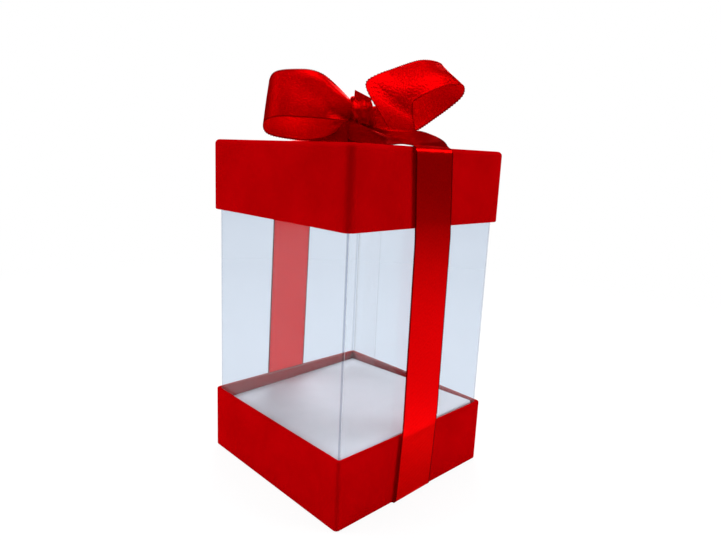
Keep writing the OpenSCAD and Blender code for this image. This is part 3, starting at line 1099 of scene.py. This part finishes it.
# Rows of the two runs over the lid, from the knot to the lid's edge: [sideways, from the
# middle, above the lid]. The second is a share of half the box, and the others are shares
# of the ribbon's width.
FRONT_LEFT_SHARES = [
    (-0.25, 0.06, 0.12), (-0.31, -0.004, 0.06), (-0.38, -0.205, 0.03),
    (-0.46, -0.41, 0.0), (-0.52, -0.603, -0.008), (-0.56, -0.728, -0.006),
    (-0.585, -0.838, 0.010), (-0.60, -0.923, 0.004),
]
FRONT_RIDGE_SHARES = [
    (-0.15, 0.06, 0.44), (-0.20, -0.004, 0.39), (-0.27, -0.205, 0.28),
    (-0.35, -0.41, 0.19), (-0.40, -0.603, 0.13), (-0.40, -0.728, 0.105),
    (-0.37, -0.838, 0.065), (-0.353, -0.923, 0.035),
]
FRONT_RIGHT_SHARES = [
    (0.25, 0.06, 0.31), (0.26, -0.004, 0.29), (0.28, -0.205, 0.23),
    (0.30, -0.41, 0.245), (0.325, -0.603, 0.28), (0.35, -0.728, 0.24),
    (0.38, -0.838, 0.17), (0.39, -0.923, 0.085),
]
BACK_LEFT_SHARES = [
    (-0.27, -0.06, 0.10), (-0.28, 0.004, 0.05), (-0.28, 0.154, 0.03),
    (-0.31, 0.308, 0.02), (-0.37, 0.462, 0.02), (-0.44, 0.667, 0.02),
    (-0.475, 0.82, 0.02), (-0.495, 0.923, 0.015),
]
BACK_RIDGE_SHARES = [
    (-0.13, -0.06, 0.42), (-0.14, 0.004, 0.41), (-0.14, 0.154, 0.36),
    (-0.17, 0.308, 0.25), (-0.21, 0.462, 0.16), (-0.24, 0.667, 0.095),
    (-0.245, 0.82, 0.055), (-0.24, 0.923, 0.025),
]
BACK_RIGHT_SHARES = [
    (0.18, -0.06, 0.36), (0.20, 0.004, 0.34), (0.225, 0.154, 0.30),
    (0.275, 0.308, 0.22), (0.35, 0.462, 0.15), (0.43, 0.667, 0.10),
    (0.475, 0.82, 0.07), (0.495, 0.923, 0.03),
]
# Sideways shift of each side run at (height, shift) stations
FRONT_SHIFTS = [
    (0.0, -1.7 * MM), (RIM_Z + 4 * MM, 0.1 * MM), (LID_RIM_Z - 4 * MM, 0.1 * MM),
    (LID_TOP_Z, -2.2 * MM),
]
BACK_SHIFTS = [(0.0, -3.5 * MM), (LID_TOP_Z, 0.0)]
# How far each edge of a run stands off the box: on the walls, on the lid, under the base
FRONT_LEFT_OFF = (0.95 * MM, 0.35 * MM, 0.125 * MM)
FRONT_RIGHT_OFF = (0.36 * MM, 0.22 * MM, 0.125 * MM)
BACK_OFF = (0.40 * MM, 0.25 * MM, 0.125 * MM)
OVER_LID_POINTS = 60
EDGE_ARC_POINTS = 12
WALL_POINTS = 120
UNDER_POINTS = 40
SMOOTHED_ROWS = 5
# The pleats of the runs over the lid: how many, their phase, and how far from the knot
# they begin to open and are gone
LID_PLEATS = 2.0
LID_PLEAT_PHASE = 0.5
PLEATS_OPEN = (6 * MM, 26 * MM)
# How near the wall's face a row is on the wall, and how near the base's edge it ends
ON_WALL = 0.2 * MM
ABOVE_FOOT = 0.3 * MM


def run_edge(over_lid, shifts, off, side, facing):
    """One edge of the ribbon from the knot over the lid, round the lid's edge, down the
    wall and round the base's edge. side is -1 or 1 for the edge's side, and facing is -1
    at the front and 1 at the back. The edge stands off the box by its distance there."""
    wall_off, lid_off, foot_off = off
    shares = np.array(over_lid)
    over = np.stack([
        shares[:, 0] * RIBBON_W, shares[:, 1] * HALF_W,
        LID_TOP_Z + lid_off + shares[:, 2] * RIBBON_W,
    ], -1)
    turn = np.radians(np.linspace(90, 0, EDGE_ARC_POINTS))
    off_there = lid_off + (wall_off - lid_off) * smooth_step(90, 0, np.degrees(turn))
    lid_arc_out = HALF_W - LID_EDGE_R + (LID_EDGE_R + off_there) * np.cos(turn)
    lid_arc_up = LID_TOP_Z - LID_EDGE_R + (LID_EDGE_R + off_there) * np.sin(turn)
    wall_up = np.linspace(LID_TOP_Z - LID_EDGE_R, UNDERSIDE_Z + BASE_EDGE_R, WALL_POINTS)[1:]
    wall_out = np.full_like(wall_up, HALF_W + wall_off)
    foot_turn = np.radians(np.linspace(0, -90, EDGE_ARC_POINTS))[1:]
    foot_there = wall_off + (foot_off - wall_off) * smooth_step(0, -90, np.degrees(foot_turn))
    foot_arc_out = HALF_W - BASE_EDGE_R + (BASE_EDGE_R + foot_there) * np.cos(foot_turn)
    foot_arc_up = UNDERSIDE_Z + BASE_EDGE_R + (BASE_EDGE_R + foot_there) * np.sin(foot_turn)
    out = np.concatenate([lid_arc_out, wall_out, foot_arc_out])
    up = np.concatenate([lid_arc_up, wall_up, foot_arc_up])
    at, shift = np.array(shifts).T
    sideways = np.interp(up, at, shift) + side * RIBBON_W / 2
    down = np.stack([sideways, facing * out, up], -1)
    return np.concatenate([spline(over, OVER_LID_POINTS), down])


def box_band():
    """The left edge, ridge and right edge of the whole ribbon round the box, from the
    knot's front over the lid, down the front, under the base, up the back and over the lid
    to the knot. Past the lid the ridge lies in the plane of the ribbon."""
    front_ridge_off = np.array(FRONT_LEFT_OFF) * (1 - RIDGE_LANE)
    front_ridge_off += np.array(FRONT_RIGHT_OFF) * RIDGE_LANE
    ridge_side = 2 * RIDGE_LANE - 1
    front = [
        run_edge(FRONT_LEFT_SHARES, FRONT_SHIFTS, FRONT_LEFT_OFF, -1, -1),
        run_edge(FRONT_RIDGE_SHARES, FRONT_SHIFTS, front_ridge_off, ridge_side, -1),
        run_edge(FRONT_RIGHT_SHARES, FRONT_SHIFTS, FRONT_RIGHT_OFF, 1, -1),
    ]
    back = [
        run_edge(BACK_LEFT_SHARES, BACK_SHIFTS, BACK_OFF, -1, 1),
        run_edge(BACK_RIDGE_SHARES, BACK_SHIFTS, BACK_OFF, ridge_side, 1),
        run_edge(BACK_RIGHT_SHARES, BACK_SHIFTS, BACK_OFF, 1, 1),
    ]
    lines = []
    for fore, aft in zip(front, back):
        under = line(fore[-1], aft[-1], UNDER_POINTS)[1:]
        lines.append(np.concatenate([fore, under, aft[::-1]]))
    even = evenly(np.stack(lines), ROW_SPACING)
    return np.stack([smoothed(each, SMOOTHED_ROWS) for each in even])


def band_ribbons(front_satin, glow_painted_back_satin, shade_painted_satin, cut_end):
    """The ribbon round the box, cut where it turns over an edge and halfway up the sleeve.
    The real ribbon runs on there, so nothing is seen of the cuts. Each run is a stretch of
    the band's rows; the runs over the lid go with the lid, the run under the base goes with
    the base, and the runs up the sides stay where they are."""
    left, ridge, right = box_band()
    middle = (left + right) / 2
    at = lengths_along(middle)
    gather = 1 - smooth_step(*PLEATS_OPEN, np.minimum(at, at[-1] - at))
    plain = over_ridge(left, ridge, right)
    surface, shares = ribbon_grid(plain, gather, 0.0, LID_PLEATS, LID_PLEAT_PHASE)
    normals = grid_normals(surface)
    fore = np.arange(len(at)) < len(at) // 2
    out, up = np.abs(middle[:, 1]), middle[:, 2]
    on_wall = out > HALF_W - ON_WALL
    on_lid = (up > LID_TOP_Z - LID_EDGE_R) & (out < HALF_W - LID_EDGE_R)
    above_foot = on_wall & (up > UNDERSIDE_Z + BASE_EDGE_R - ABOVE_FOOT)
    lid_front = int(np.flatnonzero(fore & on_lid)[-1])
    split_front = int(np.flatnonzero(fore & on_wall & (up < SPLIT_Z))[0])
    foot_front = int(np.flatnonzero(fore & above_foot)[-1])
    foot_back = int(np.flatnonzero(~fore & above_foot)[0])
    split_back = int(np.flatnonzero(~fore & on_wall & (up > SPLIT_Z))[0])
    lid_back = int(np.flatnonzero(~fore & on_lid)[0])

    # Over the lid the runs take the satin with darker thread, painted shade under the bow; the
    # back runs take the satin that lets more light through, a painted glow.
    runs = {
        "top_front": (0, lid_front, shade_painted_satin, "gathered", "lid_paper"),
        "front_upper": (lid_front, split_front, front_satin, "stretched", "lid_paper"),
        "front_lower": (split_front, foot_front, front_satin, "stretched", "base_paper"),
        "under_run": (foot_front, foot_back, front_satin, "laid", "base_paper"),
        "back_lower": (foot_back, split_back, glow_painted_back_satin, "stretched", "base_paper"),
        "back_upper": (split_back, lid_back, glow_painted_back_satin, "stretched", "lid_paper"),
        "top_back": (lid_back, len(at) - 1, shade_painted_satin, "gathered", "lid_paper"),
    }
    for name, (start, end, satin, held, rests_on) in runs.items():
        part = slice(start, end + 1)
        piece = ribbon_piece(
            "satin_" + name, surface[part], shares[part], [satin, cut_end],
            normals[part],
        )
        if held == "gathered":
            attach(piece, "lid")
        elif held == "laid":
            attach(piece, "base")
        elif rests_on == "lid_paper":
            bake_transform(piece)
        else:
            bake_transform(piece)
        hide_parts("ribbon_" + name)


# Bow

BOW_TURN = math.radians(-43.3)
LOOP_POINTS = 400
# Share of a loop's length that its bend takes, and how much it flattens the cup
BEND_SHARE = 0.10
BEND_FLATTENS = 0.8
# How far from the knot each loop's pleats begin to open and are gone
LEFT_PLEATS_OPEN = (2 * MM, 15 * MM)
RIGHT_PLEATS_OPEN = (3 * MM, 15 * MM)
LEFT_GATHER = 0.5
# Rows of the bow's ribbons, from the knot outwards and back, as shares of the ribbon's
# width: [along the bow, away from the front, above the lid].
LEFT_UPPER_SHARES = [
    (0.02, 0.02, 0.73), (-0.13, -0.02, 0.83), (-0.40, -0.08, 1.06), (-0.66, -0.16, 1.23),
    (-0.91, -0.25, 1.30), (-1.17, -0.29, 1.30), (-1.43, -0.27, 1.28), (-1.60, -0.20, 1.23),
    (-1.69, -0.05, 1.15), (-1.72, 0.10, 1.08), (-1.64, 0.24, 1.02), (-1.36, 0.34, 0.98),
    (-0.98, 0.34, 0.98), (-0.58, 0.25, 0.90), (-0.32, 0.14, 0.78), (-0.13, 0.08, 0.70),
    (0.02, 0.06, 0.68),
]
LEFT_LOWER_SHARES = [
    (0.02, -0.04, 0.44), (-0.13, -0.06, 0.43), (-0.36, -0.11, 0.44), (-0.62, -0.18, 0.45),
    (-0.87, -0.27, 0.45), (-1.12, -0.33, 0.45), (-1.38, -0.34, 0.45), (-1.62, -0.27, 0.42),
    (-1.78, -0.14, 0.34), (-1.80, 0.02, 0.20), (-1.63, 0.14, 0.10), (-1.22, 0.19, 0.05),
    (-0.98, 0.20, 0.05), (-0.74, 0.18, 0.09), (-0.50, 0.14, 0.19), (-0.13, 0.09, 0.40),
    (0.02, 0.06, 0.46),
]
RIGHT_UPPER_SHARES = [
    (0.12, 0.04, 0.72), (0.27, 0.06, 0.74), (0.36, 0.20, 0.86), (0.46, 0.32, 1.02),
    (0.66, 0.40, 1.20), (0.88, 0.44, 1.36), (1.10, 0.44, 1.47), (1.32, 0.38, 1.53),
    (1.46, 0.26, 1.56), (1.50, 0.14, 1.57), (1.36, 0.04, 1.60), (1.12, -0.02, 1.60),
    (0.90, -0.05, 1.54), (0.70, -0.09, 1.46), (0.54, -0.14, 1.39), (0.42, -0.19, 1.34),
    (0.24, -0.25, 1.25), (0.09, -0.31, 1.10), (0.22, -0.40, 0.80), (0.55, -0.44, 0.32),
]
RIGHT_LOWER_SHARES = [
    (0.12, 0.04, 0.44), (0.27, 0.04, 0.36), (0.42, 0.02, 0.29), (0.60, 0.02, 0.24),
    (0.88, 0.04, 0.25), (1.14, 0.06, 0.34), (1.40, 0.07, 0.53), (1.62, 0.07, 0.70),
    (1.83, 0.05, 0.88), (1.94, -0.04, 1.04), (1.87, -0.22, 1.18), (1.65, -0.38, 1.20),
    (1.42, -0.47, 1.12), (1.20, -0.51, 1.01), (1.03, -0.51, 0.90), (0.94, -0.50, 0.81),
    (0.94, -0.48, 0.70), (0.97, -0.46, 0.56), (1.01, -0.45, 0.42), (1.04, -0.44, 0.28),
]


def in_bow(points):
    """Points of the bow's own frame, turned and set on the lid."""
    c, s = math.cos(BOW_TURN), math.sin(BOW_TURN)
    turn = np.array([[c, s, 0], [-s, c, 0], [0, 0, 1]])
    return points @ turn + np.array([0, 0, LID_TOP_Z])


def loop_edges(first_shares, second_shares):
    """Both edges of a loop: splines through their rows, evenly spaced along the loop."""
    edges = [
        in_bow(RIBBON_W * spline(shares, LOOP_POINTS))
        for shares in (first_shares, second_shares)
    ]
    return evenly(np.stack(edges), ROW_SPACING)


def bow_loop(name, edges, gather, satin, cup, pleats, phase, folds):
    """Loop of straight lanes between its two edges, with its cup, pleats and folds. The
    cup is flattened at the bend, by a bell about the loop's middle."""
    at = lengths_along(edges.mean(0))
    bend = bell(at / at[-1] - 0.5, BEND_SHARE)
    surface, shares = ribbon_grid(
        between(*edges), gather, cup * (1 - BEND_FLATTENS * bend), pleats, phase, folds
    )
    piece = ribbon_piece(name, surface, shares, [satin])
    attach(piece, "lid")
    return piece


# Folds of the front of each loop: (rows, lanes, width, rise)
LEFT_LOOP_FOLDS = [
    ((-0.05, 0.13, 0.19, 0.26, 0.36), (0.66, 0.70, 0.81, 0.89, 0.95), 0.14, -1.6 * MM),
    ((0.0, 0.13, 0.19, 0.25, 0.34), (0.30, 0.32, 0.44, 0.52, 0.58), 0.16, 0.5 * MM),
    ((0.0, 0.13, 0.36), (1.0, 1.0, 1.02), 0.10, 0.5 * MM),
]


def left_loop(satin):
    """Loop that leaves the knot on the camera's side and comes back lower behind. It is
    half gathered at both ends."""
    edges = loop_edges(LEFT_LOWER_SHARES, LEFT_UPPER_SHARES)
    at = lengths_along(edges.mean(0))
    from_knot = np.minimum(at, at[-1] - at)
    gather = LEFT_GATHER * (1 - smooth_step(*LEFT_PLEATS_OPEN, from_knot))
    piece = bow_loop(
        "satin_left_loop", edges, gather, satin, cup=-0.12, pleats=1.25, phase=0.7,
        folds=LEFT_LOOP_FOLDS,
    )
    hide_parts("bow_left_loop")


RIGHT_LOOP_FOLDS = [
    ((0.50, 0.60, 0.80, 0.92), (0.99, 0.99, 0.99, 0.99), 0.16, -1.6 * MM),
]


def right_loop(satin):
    """Loop that leaves the knot behind, turns at the right, comes over a ridge in front and
    droops to the lid beside the knot. It is gathered where it leaves the knot."""
    edges = loop_edges(RIGHT_UPPER_SHARES, RIGHT_LOWER_SHARES)
    gather = 1 - smooth_step(*RIGHT_PLEATS_OPEN, lengths_along(edges.mean(0)))
    piece = bow_loop(
        "satin_right_loop", edges, gather, satin, cup=0.05, pleats=2.0, phase=0.3,
        folds=RIGHT_LOOP_FOLDS,
    )
    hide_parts("bow_right_loop")


# Section across the knot's band as shares of [its length, its depth below the outside].
# It starts under the band, comes round its left side, crosses the outside in two
# pleats and goes back under on the right.
KNOT_SECTION_SHARES = [
    (-0.02, 1.30), (-0.22, 1.28), (-0.40, 1.12), (-0.49, 0.78), (-0.50, 0.38),
    (-0.42, 0.05), (-0.30, -0.10), (-0.17, 0.22), (-0.09, 0.34), (0.01, 0.02),
    (0.13, -0.10), (0.22, 0.18), (0.28, 0.30), (0.36, 0.05), (0.45, 0.08),
    (0.50, 0.42), (0.49, 0.80), (0.40, 1.14), (0.22, 1.30), (0.04, 1.34),
]
KNOT_LENGTH = 8.0 * MM
KNOT_MIDDLE = 1.33 * MM
KNOT_Z = 12.4 * MM
KNOT_HALF_DEPTH = 4.45 * MM
KNOT_HALF_HEIGHT = 5.5 * MM
KNOT_PLEAT = 1.25 * MM
KNOT_SLANT = 1.3 * MM
KNOT_ROWS = 150
# How much the section is drawn in, and at what turn most
KNOT_DRAW = 0.10
KNOT_DRAW_TURN = 1.2
# Height of the band's ripples, how many go round it, and how far they slant across it
KNOT_RIPPLE = 0.16 * MM
RIPPLES_ROUND = 3
RIPPLE_SLANT = 5


def knot_band(satin):
    """Band of ribbon round the bow's neck. Its section is carried round an oval, and is
    drawn in towards the oval's top and bottom, where the neighbouring ribbons crowd it."""
    section = spline(KNOT_SECTION_SHARES, 4 * len(LANES))
    at = lengths_along(section * [KNOT_LENGTH, KNOT_PLEAT])
    wanted = LANES * at[-1]
    along_bow = np.interp(wanted, at, section[:, 0]) * KNOT_LENGTH
    depth = np.interp(wanted, at, section[:, 1]) * KNOT_PLEAT
    turn = np.linspace(0, 2 * np.pi, KNOT_ROWS, endpoint=False)[:, None]
    draw = 1 - KNOT_DRAW * np.cos(turn - KNOT_DRAW_TURN) ** 2
    slant = -KNOT_SLANT * np.sin(turn)
    deep = depth + KNOT_RIPPLE * np.sin(RIPPLES_ROUND * turn + RIPPLE_SLANT * LANES)
    x = KNOT_MIDDLE + along_bow * draw + slant
    y = (KNOT_HALF_DEPTH - deep) * np.cos(turn)
    z = KNOT_Z + (KNOT_HALF_HEIGHT - deep) * np.sin(turn)
    surface = in_bow(np.stack([x, y, z], -1))
    round_it = np.linalg.norm(surface - np.roll(surface, 1, 0), axis=-1).sum(0).mean()
    shares = ribbon_shares(np.linspace(0, round_it, KNOT_ROWS))
    piece = strip_piece(
        "satin_knot", surface, half_thickness(KNOT_ROWS), [satin], shares, wrap_rows=True
    )
    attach(piece, "lid")
    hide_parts("bow_knot")


TAIL_FRONT_SHARES = [(0.20, 0.40), (0.22, 0.62), (0.21, 0.86)]
TAIL_FOLD_SHARES = [(-0.10, 0.40), (-0.11, 0.70), (-0.10, 1.00)]
TAIL_ROWS = 52
TAIL_BEHIND = -2.6 * MM
TAIL_GAP = 1.1 * MM
# Share of the gap that is left at the fold, and how sharp the fold is
TAIL_GAP_AT_FOLD = 0.7
TAIL_FOLD_SHARPNESS = 6


def tail_end(satin):
    """Short trimmed end that stands up behind the knot, folded along its middle. Both
    leaves run from the fold to their selvedge, and stand apart by the hyperbolic tangent
    of the lane, counted from the fold."""
    front = spline(TAIL_FRONT_SHARES, TAIL_ROWS)
    fold = spline(TAIL_FOLD_SHARES, TAIL_ROWS)
    reach = np.abs(2 * LANES - 1)
    flat = fold[:, None] * (1 - reach[None, :, None]) + front[:, None] * reach[None, :, None]
    side = np.tanh(TAIL_FOLD_SHARPNESS * (2 * LANES - 1))
    apart = TAIL_GAP / 2 * side * (TAIL_GAP_AT_FOLD + (1 - TAIL_GAP_AT_FOLD) * reach)
    points = np.stack([
        flat[..., 0] * RIBBON_W,
        TAIL_BEHIND + np.broadcast_to(apart, flat.shape[:2]),
        flat[..., 1] * RIBBON_W,
    ], -1)
    surface = in_bow(points)
    at = lengths_along(surface.mean(1))
    piece = strip_piece(
        "satin_tail", surface, half_thickness(TAIL_ROWS), [satin], ribbon_shares(at)
    )
    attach(piece, "lid")
    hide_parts("bow_tail")


# Studio

FLOOR_HALF = 30.0
FLOOR_Z = -0.1 * MM
FLOOR_DARK = (0.84, 0.84, 0.84)
FLOOR_LIGHT = (0.86, 0.86, 0.86)
WHITE = (1, 1, 1, 1)
SKY = (0.97, 0.985, 1.0, 1)
AMBIENT = 0.30
MIRRORED = 0.10
FLOOR_LIFT = 0.90
# Distances from the box between which each of the floor's changes happens
WHITE_FLOOR = (0.12, 0.45)
DIM_MIRRORED_NEAR = (0.07, 0.13)
DIM_MIRRORED_FAR = (0.40, 0.9)
DIM_LIGHTING = (0.20, 0.6)
NEAR_DIMNESS = 0.64
# Lamps: name, place, side and power, whether gloss mirrors it and whether it lights the
# matt pieces
LAMPS = [
    ("left_lamp", (-0.64, 0.51, 0.36), 0.45, 6.9, False, True),
    ("right_lamp", (0.51, -0.64, 0.36), 0.45, 6.3, False, True),
    ("top_lamp", (0.0, 0.0, 0.95), 0.35, 6.5, False, True),
    ("glint_lamp", (-0.235, -0.335, 0.74), 0.45, 2.8, True, False),
    ("crest_lamp", (0.066, -0.547, 0.69), 0.30, 1.0, True, False),
    ("edge_lamp", (0.70, -0.42, 0.53), 0.25, 3.6, True, False),
    ("bend_lamp", (-0.75, 0.20, 0.45), 0.35, 0.9, True, False),
    ("back_lamp", (0.55, 0.60, 0.50), 0.50, 7.0, True, True),
]


def seen_by(finish, *kinds):
    """One for a ray of any of the given kinds, nought for the rest."""
    path = finish.node("ShaderNodeLightPath").outputs
    seen = path[kinds[0]]
    for kind in kinds[1:]:
        seen = finish.maths("ADD", seen, path[kind], clamp=True)
    return seen


def studio_world():
    """Plain white backdrop that lights the box at an even, lower level, and is dimmer still
    where it is mirrored."""
    world = bpy.data.worlds.new("studio")
    bpy.context.scene.world = world
    sky = Finish(world, "ShaderNodeOutputWorld")
    dimmer = sky.maths("MULTIPLY", seen_by(sky, "Is Glossy Ray"), MIRRORED - AMBIENT)
    strength = sky.maths("ADD", dimmer, AMBIENT)
    lit = sky.shader("ShaderNodeBackground", {"Color": SKY, "Strength": strength})
    white = sky.shader("ShaderNodeBackground", {"Color": WHITE})
    seen = seen_by(sky, "Is Camera Ray", "Is Transmission Ray")
    sky.surface(sky.shared(seen, lit, white))


def studio_floor():
    """Pale floor. To the camera it is part plain white, wholly so farther off, so that it
    meets the backdrop without an edge and still holds the box's shadow. Where gloss mirrors
    it, it is dim from a little way off the box, most of all past the lamps, and its far
    part is dim where it would light the box."""
    material, finish = new_material("pale_floor")
    place = finish.place()
    length = finish.node("ShaderNodeVectorMath", {0: place}, operation="LENGTH")
    distance = length.outputs["Value"]

    def eased(distances, at_near, at_far):
        """Goes smoothly from one value to the other with the distance from the box."""
        return finish.spread(distance, *distances, at_near, at_far, kind="SMOOTHSTEP")

    tint = finish.ramp(finish.noise(place, scale=6), 0.3, 0.7, FLOOR_DARK, FLOOR_LIGHT)
    matt = finish.shader("ShaderNodeBsdfDiffuse", {"Color": tint})
    white = finish.shader("ShaderNodeEmission", {"Strength": 1.0})
    seen = seen_by(finish, "Is Camera Ray", "Is Transmission Ray")
    lift = finish.maths("MULTIPLY", seen, eased(WHITE_FLOOR, FLOOR_LIFT, 1.0))
    lifted = finish.shared(lift, matt, white)
    dim = finish.shader("ShaderNodeEmission", {"Strength": MIRRORED})
    mirrored_share = finish.maths(
        "MAXIMUM", eased(DIM_MIRRORED_NEAR, 0.0, NEAR_DIMNESS),
        eased(DIM_MIRRORED_FAR, 0.0, 1.0),
    )
    dimmed = finish.maths(
        "ADD", finish.maths("MULTIPLY", seen_by(finish, "Is Glossy Ray"), mirrored_share),
        finish.maths(
            "MULTIPLY", seen_by(finish, "Is Diffuse Ray"), eased(DIM_LIGHTING, 0.0, 1.0)
        ),
    )
    finish.surface(finish.shared(dimmed, lifted, dim))
    corners = FLOOR_HALF * np.array([[-1, -1, 0], [1, -1, 0], [1, 1, 0], [-1, 1, 0]])
    floor = new_piece("floor", corners, [[0, 1, 2, 3]], [material])
    floor.location.z = FLOOR_Z


def soft_lamp(name, place, size, power, mirrored, lights):
    """Square soft lamp that points at the middle of the box. Some lamps only show as gloss,
    and some only light."""
    data = bpy.data.lights.new(name, "AREA")
    data.shape = "SQUARE"
    data.size = size
    data.energy = power
    lamp = bpy.data.objects.new(name, data)
    bpy.context.scene.collection.objects.link(lamp)
    lamp.location = place
    lamp.visible_glossy = mirrored
    lamp.visible_diffuse = lights
    towards = Vector((0, 0, LID_TOP_Z / 2)) - Vector(place)
    lamp.rotation_euler = towards.to_track_quat("-Z", "Y").to_euler()


# The finished box

def finish_cad_nodes(board, liner, stay, glue):
    """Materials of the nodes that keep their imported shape. The glue lets all light by."""
    finishes = {
        "base_board": board, "base_liner": liner, "lid_liner": liner,
        "base_corner_stays": stay, "sleeve_seam_glue": glue,
    }
    for name, material in finishes.items():
        mesh = frame["nodes"][name].data
        mesh.materials.clear()
        mesh.materials.append(material)
    out_of_the_light(frame["nodes"]["sleeve_seam_glue"])


photo_camera()
studio_world()
studio_floor()
for lamp in LAMPS:
    soft_lamp(*lamp)
bpy.context.scene.view_settings.view_transform = "Standard"

paper = red_paper()
bare = bare_paper()
board = grey_board()
stay = stay_paper()
# Satins: share of light let through, depth of its sparkle, dark and bright thread, selvedge.
# They are lit and shaded copies of one ribbon. The back copy lets more light through than
# the front, a painted glow; the copy over the lid has darker thread and lets little through,
# painted shade under the bow; the bow's copy has brighter thread and a paler selvedge,
# painted light.
front_satin = red_satin("red_satin_front", 0.28, 0.05 * MM, 0.52, 0.78, 0.12)
glow_painted_back_satin = red_satin("red_satin_back_glow_painted", 0.38, 0.05 * MM, 0.52, 0.78, 0.12)
shade_painted_satin = red_satin("red_satin_shade_painted", 0.05, 0.14 * MM, 0.27, 0.46, 0.14)
bow_satin = red_satin("red_satin_bow", 0.10, 0.32 * MM, 0.54, 0.82, 0.34)

finish_cad_nodes(board, white_liner(), stay, clear_glue())
base_paper(paper, bare)
lid_paper(paper, bare)
lid_core(board)
lid_stays(stay)
film_sleeve(clear_film())
card_platform(white_card())
band_ribbons(front_satin, glow_painted_back_satin, shade_painted_satin, running_on())
left_loop(bow_satin)
right_loop(bow_satin)
knot_band(bow_satin)
tail_end(bow_satin)

bpy.context.view_layer.update()
